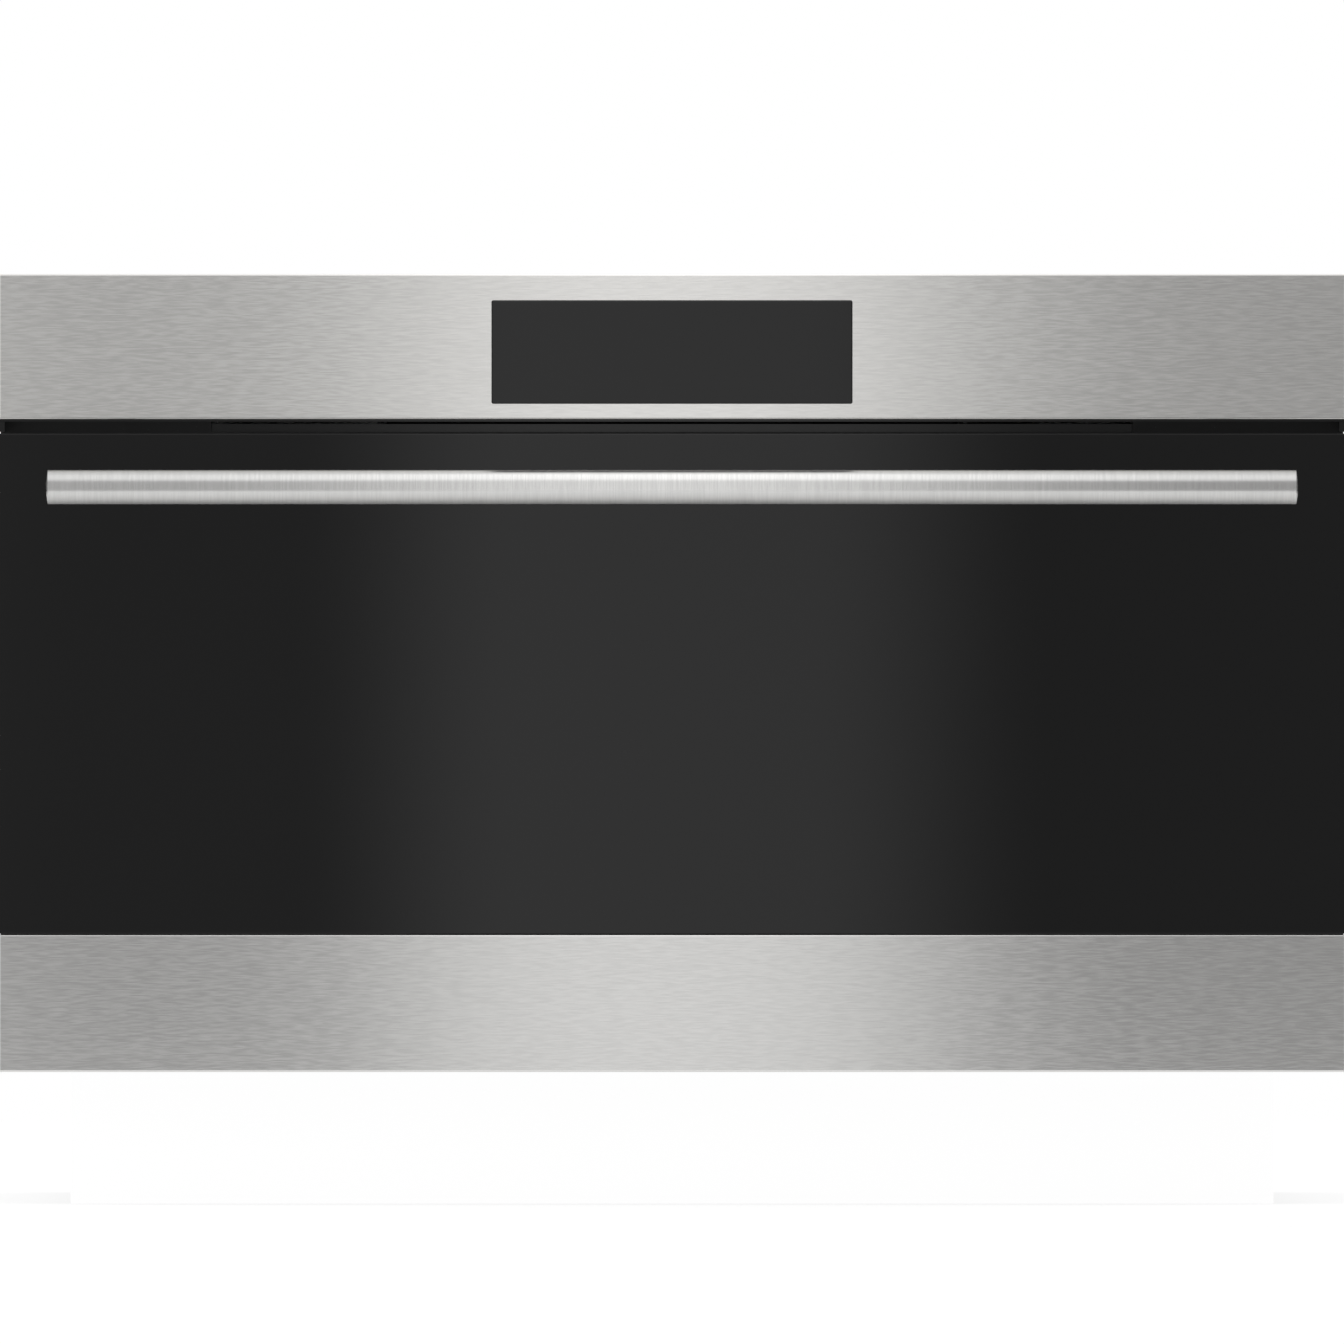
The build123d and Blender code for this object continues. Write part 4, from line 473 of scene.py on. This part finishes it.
tube = Finish("element_tube", Metallic=0.85)
tint = tube.noise(30, 3.0).between(0.3, 0.7)
scale_marks = tube.noise(500, 2.0)
tube.paint({
    "Base Color": tube.mix(tint, (0.115, 0.105, 0.10, 1), (0.16, 0.125, 0.09, 1)),
    "Roughness": 0.42 + 0.14 * scale_marks,
    "Normal": tube.bump(scale_marks, 0.00008, 0.4),
})
dress(tube, "grill_element", "ring_element")

# %% [markdown]
# The hinges, latches and fasteners are zinc plated: pale steel with a faint yellow and blue bloom.
# Motors are bare pressed steel, and the microwave stirrer is aluminium with a satin face.


# %% Zinc, pressed steel and aluminium
def worked_metal(name, colour, bloom, roughness, scale):
    finish = Finish(name, Metallic=1.0)
    patch = finish.noise(scale, 3.0).between(0.3, 0.7)
    scuff = finish.noise(1200, 2.0)
    finish.paint({
        "Base Color": finish.mix(patch, (*colour, 1), (*bloom, 1)),
        "Roughness": roughness + 0.12 * (scuff - 0.5) + 0.05 * patch,
        "Normal": finish.bump(scuff, 0.00003, 0.4),
    })
    return finish


zinc = worked_metal("zinc_plate", (0.58, 0.58, 0.56), (0.60, 0.57, 0.46), 0.30, 60)
pressed = worked_metal("pressed_steel", (0.42, 0.43, 0.44), (0.48, 0.48, 0.47), 0.36, 35)
stirrer_sheet = worked_metal("stirrer_aluminium", (0.70, 0.70, 0.71), (0.64, 0.64, 0.66), 0.34, 25)
dress(zinc, "hinge_cases", "hinge_pins", "hinge_arms", "hinge_receivers", "hinge_plunger_left",
      "hinge_plunger_right", "hinge_springs", "latch_hooks", "handle_screws", "fan_wheel")
dress(pressed, "fan_motor", "stirrer_motor", "blower_motor", "magnetron")
dress(stirrer_sheet, "stirrer")

# %% [markdown]
# Circuit boards are one solid each, with the parts on them. The board itself is a thin slab at one
# depth, so a mask on that axis paints it green with copper traces under the lacquer. What stands
# off the board is black, apart from a thin bright layer next to the board, where legs are tinned.


# %% Circuit boards
def circuit_board(name, letter, low, high):
    finish = Finish(name, Specular_IOR_Level=0.5)
    depth = finish.axis(letter)
    slab = depth.above(low) * depth.below(high)
    trace = finish.cells(170, "DISTANCE_TO_EDGE").below(0.09)
    lacquer = finish.mix(trace, (0.012, 0.11, 0.045, 1), (0.03, 0.20, 0.08, 1))
    legs = depth.above(low - tinned_legs) * depth.below(high + tinned_legs)
    grain = finish.noise(900, 2.0)
    epoxy = finish.shades(grain, (0.022, 0.022, 0.024), 0.3)
    parts = finish.mix(legs, epoxy, (0.30, 0.31, 0.33, 1))
    finish.paint({
        "Base Color": finish.mix(slab, parts, lacquer),
        "Roughness": 0.34 + 0.2 * grain,
        "Normal": finish.bump(trace, 0.00005, 0.4),
    })
    return finish


board_thickness = 0.0016
tinned_legs = 0.0012
tolerance = 0.0002
for name, letter, level in (("control_board", "Y", 0), ("power_board", "Z", 1),
                            ("inverter_board", "Z", 1)):
    corners = np.array([vertex.co for vertex in nodes[name].data.vertices])
    flats = np.unique(corners[:, "XYZ".index(letter)].round(5))
    board = flats[level]
    dress(circuit_board(f"{name}_lacquer", letter, board - tolerance,
                        board + board_thickness + tolerance), name)
    print(name, "slab at", board)

# %% [markdown]
# Screws repeat, so Geometry Nodes make them: one cone for the head, a cross cut from it with two
# bars, and a shank, set on points that each carry the direction they face. The CAD model has plain
# heads at the right places, so the points are read from it.


# %% Geometry Nodes helpers
class Recipe(Graph):
    """A Geometry Nodes tree with named inputs, and a way to turn its result into a plain mesh."""

    def __init__(self, name, **sizes):
        super().__init__(bpy.data.node_groups.new(name, "GeometryNodeTree"))
        face = self.tree.interface
        face.new_socket("Geometry", in_out="INPUT", socket_type="NodeSocketGeometry")
        kinds = {float: "NodeSocketFloat", int: "NodeSocketInt",
                 bpy.types.Material: "NodeSocketMaterial", bpy.types.Object: "NodeSocketObject"}
        self.sizes = {}
        for key, value in sizes.items():
            label = key.replace("_", " ").title()
            socket = face.new_socket(label, in_out="INPUT", socket_type=kinds[type(value)])
            self.sizes[socket.identifier] = value
        face.new_socket("Geometry", in_out="OUTPUT", socket_type="NodeSocketGeometry")
        self.entry = self.tree.nodes.new("NodeGroupInput")

    def given(self, label):
        return Signal(self, self.entry.outputs[label])

    def finish(self, geometry):
        """Ends the tree: instances become real geometry with the given material."""
        real = self.add("GeometryNodeRealizeInstances", values={0: geometry})
        done = self.add("GeometryNodeSetMaterial",
                        values={"Geometry": real, "Material": self.given("Finish")})
        self.tree.links.new(done.socket, self.tree.nodes.new("NodeGroupOutput").inputs[0])

    def grow(self, name, mesh):
        """Runs the tree on a mesh and returns an object with the result as its own plain mesh."""
        piece = bpy.data.objects.new(name, mesh)
        scene.collection.objects.link(piece)
        modifier = piece.modifiers.new("recipe", "NODES")
        modifier.node_group = self.tree
        for identifier, value in self.sizes.items():
            modifier[identifier] = value
        bpy.context.view_layer.update()
        evaluated = piece.evaluated_get(bpy.context.evaluated_depsgraph_get())
        result = bpy.data.meshes.new_from_object(evaluated)
        piece.modifiers.clear()
        piece.data = result
        print(name, len(result.polygons), "faces")
        return piece


def loose_parts(name):
    """The lowest and highest corner of each separate solid in a CAD piece."""
    mesh = bmesh.new()
    mesh.from_mesh(nodes[name].data)
    bmesh.ops.remove_doubles(mesh, verts=mesh.verts, dist=1e-6)
    waiting, found = set(mesh.verts), []
    for start in mesh.verts:
        if start not in waiting:
            continue
        waiting.remove(start)
        stack, part = [start], []
        while stack:
            vert = stack.pop()
            part.append(vert.co.copy())
            for edge in vert.link_edges:
                other = edge.other_vert(vert)
                if other in waiting:
                    waiting.remove(other)
                    stack.append(other)
        part = np.array(part)
        found.append((part.min(0), part.max(0), part))
    mesh.free()
    return found


print("recipes ready")

# %% [markdown]
# The case and the door's back are closed with small cross-head screws, zinc plated like the
# hinges. Their heads are the only fasteners that show from outside, so they are worth a real
# cross. The CAD piece gives each screw's place, its length and the end that its head is on.


# %% Screws
def screws(name, body, head_radius, head_height):
    """Cross-head screws in the places of a CAD piece's plain ones."""
    points, facing = [], []
    for low, high, part in loose_parts(name):
        long_axis = int(np.argmax(high - low))
        middle = (low + high) / 2
        widths = []
        for end in (low[long_axis], high[long_axis]):
            ring = part[np.isclose(part[:, long_axis], end, atol=1e-5)]
            widths.append(np.ptp(np.delete(ring, long_axis, 1), 0).max())
        way = 1.0 if widths[1] > widths[0] else -1.0
        middle[long_axis] = (high if way > 0 else low)[long_axis] - way * head_height
        points.append(middle)
        facing.append([way * (i == long_axis) for i in range(3)])
    shank = float((high - low).max()) - head_height
    places = bpy.data.meshes.new(name + "_places")
    places.from_pydata(points, [], [])
    directions = places.attributes.new("facing", "FLOAT_VECTOR", "POINT")
    directions.data.foreach_set("vector", np.ravel(facing))

    recipe = Recipe(name + "_recipe", head_radius=head_radius, head_height=head_height,
                    slot_length=1.2 * head_radius, slot_width=0.3 * head_radius,
                    slot_depth=0.6 * head_height, shank_radius=0.46 * head_radius,
                    shank_length=shank, finish=zinc.material)
    given = recipe.given
    head = recipe.add("GeometryNodeMeshCone", values={
        "Vertices": 28, "Radius Top": 0.7 * given("Head Radius"),
        "Radius Bottom": given("Head Radius"), "Depth": given("Head Height")}, out="Mesh")
    up = recipe.vector(z=given("Head Height"))
    bars = []
    for x, y in (("Slot Length", "Slot Width"), ("Slot Width", "Slot Length")):
        size = recipe.vector(given(x), given(y), 2 * given("Slot Depth"))
        bar = recipe.add("GeometryNodeMeshCube", values={"Size": size})
        bars.append(recipe.add("GeometryNodeTransform",
                               values={"Geometry": bar, "Translation": up}))
    cut = recipe.add("GeometryNodeMeshBoolean", {"operation": "DIFFERENCE"}, {"Mesh 1": head})
    for bar in bars:
        recipe.tree.links.new(bar.socket, cut.socket.node.inputs["Mesh 2"])
    stem = recipe.add("GeometryNodeMeshCylinder", values={
        "Vertices": 16, "Radius": given("Shank Radius"),
        "Depth": given("Shank Length")}, out="Mesh")
    down = recipe.vector(z=-0.5 * given("Shank Length"))
    stem = recipe.add("GeometryNodeTransform", values={"Geometry": stem, "Translation": down})
    join = recipe.add("GeometryNodeJoinGeometry")
    for part in (stem, cut):
        recipe.tree.links.new(part.socket, join.socket.node.inputs[0])
    outward = recipe.add("GeometryNodeInputNamedAttribute", {"data_type": "FLOAT_VECTOR"},
                         {"Name": "facing"})
    turn = recipe.add("FunctionNodeAlignRotationToVector", {"axis": "Z"}, {"Vector": outward})
    recipe.finish(recipe.add("GeometryNodeInstanceOnPoints", values={
        "Points": given("Geometry"), "Instance": join, "Rotation": turn}))
    piece = recipe.grow("cross_head_" + name, places)
    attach(piece, body)
    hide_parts(name)
    return piece


screws("chassis_screws", "oven", 0.004, 0.002)
screws("door_screws", "door", 0.0035, 0.0014)

# %% [markdown]
# Behind the door's inner pane a perforated sheet keeps the microwaves in. The CAD model has it as
# a plain sheet. One cell is a hexagon with a hole, a few dozen triangles, and Geometry Nodes
# repeat it in rows that are shifted by half a pitch, so that neighbours share their borders.

# %% Perforated screen
screen_low, screen_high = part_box("door_screen")
screen_size = screen_high - screen_low
hole_pitch = 0.0044
hole_radius = 0.0016

spokes = [(math.cos(a), math.sin(a)) for a in (math.radians(30 + 60 * i) for i in range(6))]
rings = hole_pitch / math.sqrt(3), hole_radius
cell = bpy.data.meshes.new("screen_cell")
cell.from_pydata([(r * x, r * y, 0) for r in rings for x, y in spokes],
                 [], [(i, (i + 1) % 6, (i + 1) % 6 + 6, i + 6) for i in range(6)])
cell_object = bpy.data.objects.new("screen_cell", cell)

columns = int((screen_size.x - hole_pitch) / hole_pitch)
row_pitch = hole_pitch * math.sqrt(3) / 2
rows = int((screen_size.z - hole_pitch) / row_pitch)
screen_recipe = Recipe("screen_recipe", hole_pitch=hole_pitch, sheet_thickness=screen_size.y,
                       columns=columns, rows=rows, cell=cell_object,
                       finish=enamel("screen_enamel", (0.016, 0.016, 0.016), 0.42).material)
given = screen_recipe.given
row_step = given("Hole Pitch") * (math.sqrt(3) / 2)
grid = screen_recipe.add("GeometryNodeMeshGrid", values={
    "Size X": (given("Columns") - 1) * given("Hole Pitch"),
    "Size Y": (given("Rows") - 1) * row_step,
    "Vertices X": given("Columns"), "Vertices Y": given("Rows")}, out="Mesh")
index = screen_recipe.add("GeometryNodeInputIndex")
row_number = index.math("MODULO", index, given("Rows"))
shift = (row_number.math("MODULO", row_number, 2.0) - 0.5) * 0.5 * given("Hole Pitch")
grid = screen_recipe.add("GeometryNodeSetPosition", values={
    "Geometry": grid, "Offset": screen_recipe.vector(x=shift)})
info = screen_recipe.add("GeometryNodeObjectInfo", values={"Object": given("Cell")}, out="Geometry")
tiles = screen_recipe.add("GeometryNodeInstanceOnPoints", values={"Points": grid, "Instance": info})
tiles = screen_recipe.add("GeometryNodeRealizeInstances", values={0: tiles})
touching = 0.00005
flat = screen_recipe.add("GeometryNodeMergeByDistance",
                         values={"Geometry": tiles, "Distance": touching})
raised = screen_recipe.add("GeometryNodeExtrudeMesh", values={
    "Mesh": flat, "Offset Scale": given("Sheet Thickness"), "Individual": False})
under = screen_recipe.add("GeometryNodeFlipFaces", values={"Mesh": flat})
sides = screen_recipe.add("GeometryNodeJoinGeometry")
for part in (raised, under):
    screen_recipe.tree.links.new(part.socket, sides.socket.node.inputs[0])
closed = screen_recipe.add("GeometryNodeMergeByDistance",
                           values={"Geometry": sides, "Distance": touching})
screen_middle = (screen_low + screen_high) / 2
upright = screen_recipe.add("GeometryNodeTransform", values={
    "Geometry": closed, "Rotation": (math.radians(90), 0, 0),
    "Translation": (screen_middle.x, screen_high.y, screen_middle.z)})
screen_recipe.finish(upright)
screen = screen_recipe.grow("perforated_screen", bpy.data.meshes.new("screen_start"))
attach(screen, "door")
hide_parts("door_screen")
print(columns, "by", rows, "holes")

# %% [markdown]
# The two springs in the hinges have the right shape, but they get shorter as the door opens,
# because a plunger pushes their lower end up by 3.2 mm per radian. A merged copy of them rides on
# the door.


# %% Hinge springs
def merged_copy(name, node):
    """A new object with a CAD piece's mesh, whose loose triangles are joined at their corners."""
    piece = bpy.data.objects.new(name, nodes[node].data.copy())
    scene.collection.objects.link(piece)
    mesh = bmesh.new()
    mesh.from_mesh(piece.data)
    bmesh.ops.remove_doubles(mesh, verts=mesh.verts, dist=1e-5)
    mesh.to_mesh(piece.data)
    mesh.free()
    return piece


coils = merged_copy("hinge_coils", "hinge_springs")
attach(coils, "door")
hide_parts("hinge_springs")
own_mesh(coils)

# %% [markdown]
# Mineral wool lies round the cavity. A CAD block is too crisp for it, so its mesh is copied,
# merged, remeshed into small even faces and pushed inwards here and there by a fixed noise. It
# never leaves the space that the CAD block holds.

# %% Wool blanket
wool = Finish("mineral_wool", Specular_IOR_Level=0.1)
tuft = wool.noise(160, 4.0, 0.65)
strand = wool.noise((900, 160, 900), 3.0)
wool.paint({
    "Base Color": wool.shades(0.6 * tuft + 0.4 * strand, (0.55, 0.50, 0.38), 0.35),
    "Roughness": 0.85 + 0.1 * tuft,
    "Normal": wool.bump(tuft + 0.5 * strand, 0.0008, 0.8),
})
wool_face = 0.007
blanket = merged_copy("wool_blanket", "insulation_blanket")
remesh = blanket.modifiers.new("even_faces", "REMESH")
remesh.mode = "VOXEL"
remesh.voxel_size = wool_face
bpy.context.view_layer.update()
evaluated = blanket.evaluated_get(bpy.context.evaluated_depsgraph_get())
even = bpy.data.meshes.new_from_object(evaluated)
blanket.modifiers.clear()
blanket.data = even
low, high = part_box("insulation_blanket")
dent = 0.0006
for vert in even.vertices:
    p, n = vert.co, vert.normal
    slow = math.sin(61 * p.x + 37 * p.z) * math.sin(53 * p.y + 17)
    quick = math.sin(151 * p.x + 131 * p.y + 89 * p.z)
    vert.co = p - n * dent * (1.2 + 0.5 * (slow + quick))
    vert.co = [min(max(c, a), b) for c, a, b in zip(vert.co, low, high)]
even.materials.clear()
even.materials.append(wool.material)
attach(blanket, "oven")
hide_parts("insulation_blanket")
print("wool", len(even.polygons), "faces")

# %% [markdown]
# The room: a pale floor, and a pale block that holds the oven up as a cabinet's shelf does,
# because the open door hangs lower than the oven's base. Both are lit, and camera and reflection
# rays also see a glow from them, so that they melt into the white background and still keep a
# shadow.


# %% Floor and shelf
def seen_rays(graph):
    """1 for the rays that look at a thing directly, in a reflection or through glass."""
    kinds = ["Is Camera Ray", "Is Glossy Ray", "Is Transmission Ray"]
    path = [graph.add("ShaderNodeLightPath", out=kind) for kind in kinds]
    return path[0].math("MAXIMUM", path[0], path[1].math("MAXIMUM", path[1], path[2]))


def pale(name, own, glow):
    """A near-white finish: own is how much lamp light it returns, glow what the seen rays add."""
    finish = Finish(name, Specular_IOR_Level=0.0, Emission_Strength=glow)
    finish.paint({
        "Base Color": finish.shades(finish.noise(3, 2.0), (own, own, own), 0.02),
        "Roughness": 0.9,
        "Emission Color": finish.mix(seen_rays(finish), (0, 0, 0, 1), (1, 1, 1, 1)),
    })
    return finish.material


def stage_box(name, low, high, material):
    """A plain box between two corners that isn't part of the oven."""
    mesh = bmesh.new()
    bmesh.ops.create_cube(mesh, size=1.0)
    for vert in mesh.verts:
        vert.co = [a + (c + 0.5) * (b - a) for a, b, c in zip(low, high, vert.co)]
    data = bpy.data.meshes.new(name)
    mesh.to_mesh(data)
    mesh.free()
    data.materials.append(material)
    thing = bpy.data.objects.new(name, data)
    scene.collection.objects.link(thing)
    return thing


floor_height = -0.075
floor_reach = 4
stage_box("floor", (-floor_reach, -floor_reach, floor_height - 0.02),
          (floor_reach, floor_reach, floor_height), pale("pale_floor", 0.35, 0.78))
stage_box("shelf", (-0.34, 0.03, floor_height), (0.34, 0.52, 0.0), pale("pale_shelf", 0.12, 0.95))
print("floor at", floor_height)

# %% [markdown]
# The face is flat and seen head on, so it mirrors only what stands in front of it. In the
# photograph its tone is dark at both ends and bright in the middle: a grey wall with one tall soft
# light on it. The wall is a plane that glows and that the camera doesn't see, and the light's
# profile is a formula of X. Black glass shows that profile sharply and brushed steel blurs it.

# %% Grey wall and ceiling
wall_y = -0.87
wall_top = 1.0
ceiling_height = 1.80
card_thickness = 0.01
left_end, right_end, middle_extra = 0.52, 0.45, 0.70
light_left_edge, light_right_edge = (-0.224, -0.089), (0.225, 0.075)
far_left_extra = 0.35
ceiling_level, ceiling_extra = 0.85, 0.75
brightest = 2.0


def soft_light(x):
    """1 in the middle of the card and 0 at both ends."""
    return x.between(*light_left_edge) * x.between(*light_right_edge)


def wall_glow(x):
    ends = right_end + (left_end - right_end) * x.between(0.20, -0.20)
    return ends + middle_extra * soft_light(x) + far_left_extra * x.between(-0.34, -0.62)


def ceiling_glow(x):
    return ceiling_level + ceiling_extra * soft_light(x)


def glowing_card(name, low, high, glow):
    """A card that glows by a formula of X and that the camera doesn't see."""
    finish = Finish(name, Specular_IOR_Level=0.0, Emission_Strength=brightest,
                    Base_Color=(0, 0, 0, 1))
    share = (1 / brightest) * glow(finish.axis("X"))
    finish.paint({"Emission Color": finish.mix(share, (0, 0, 0, 1), (1, 1, 1, 1))})
    card = stage_box(name, low, high, finish.material)
    card.visible_camera = False


glowing_card("grey_wall", (-1.4, wall_y - card_thickness, floor_height),
             (1.8, wall_y, wall_top), wall_glow)
glowing_card("bright_ceiling", (-1.6, -1.80, ceiling_height),
             (1.6, 0.25, ceiling_height + card_thickness), ceiling_glow)
print("wall at y", wall_y, "and ceiling at height", ceiling_height)

# %% [markdown]
# A soft lamp lies flat under the ceiling and draws a light shadow. The round handle shows the two
# as a bright upper band, and the world lights the rest evenly. Rays that are seen find a white
# world, so the background is white without any extra light on the oven.

# %% Lamp and world
lamp_watts = 2.4
lamp_data = bpy.data.lights.new("overhead_lamp", "AREA")
lamp_data.shape = "RECTANGLE"
lamp_data.size, lamp_data.size_y = 2.4, 1.2
lamp_data.energy = lamp_watts
lamp = bpy.data.objects.new("overhead_lamp", lamp_data)
lamp.location = (0, -0.60, 1.75)
scene.collection.objects.link(lamp)

world = bpy.data.worlds.new("white_room")
world.use_nodes = True
scene.world = world
room = Graph(world.node_tree)
room.tree.nodes.clear()
sky_level = 0.80
back = room.add("ShaderNodeBackground", values={
    "Color": (1, 1, 1, 1), "Strength": sky_level + (1 - sky_level) * seen_rays(room)})
room.tree.links.new(back.socket, room.tree.nodes.new("ShaderNodeOutputWorld").inputs["Surface"])
print("lamp of", lamp_watts, "W, sky", sky_level)

# %% Finish
print("scene ready")
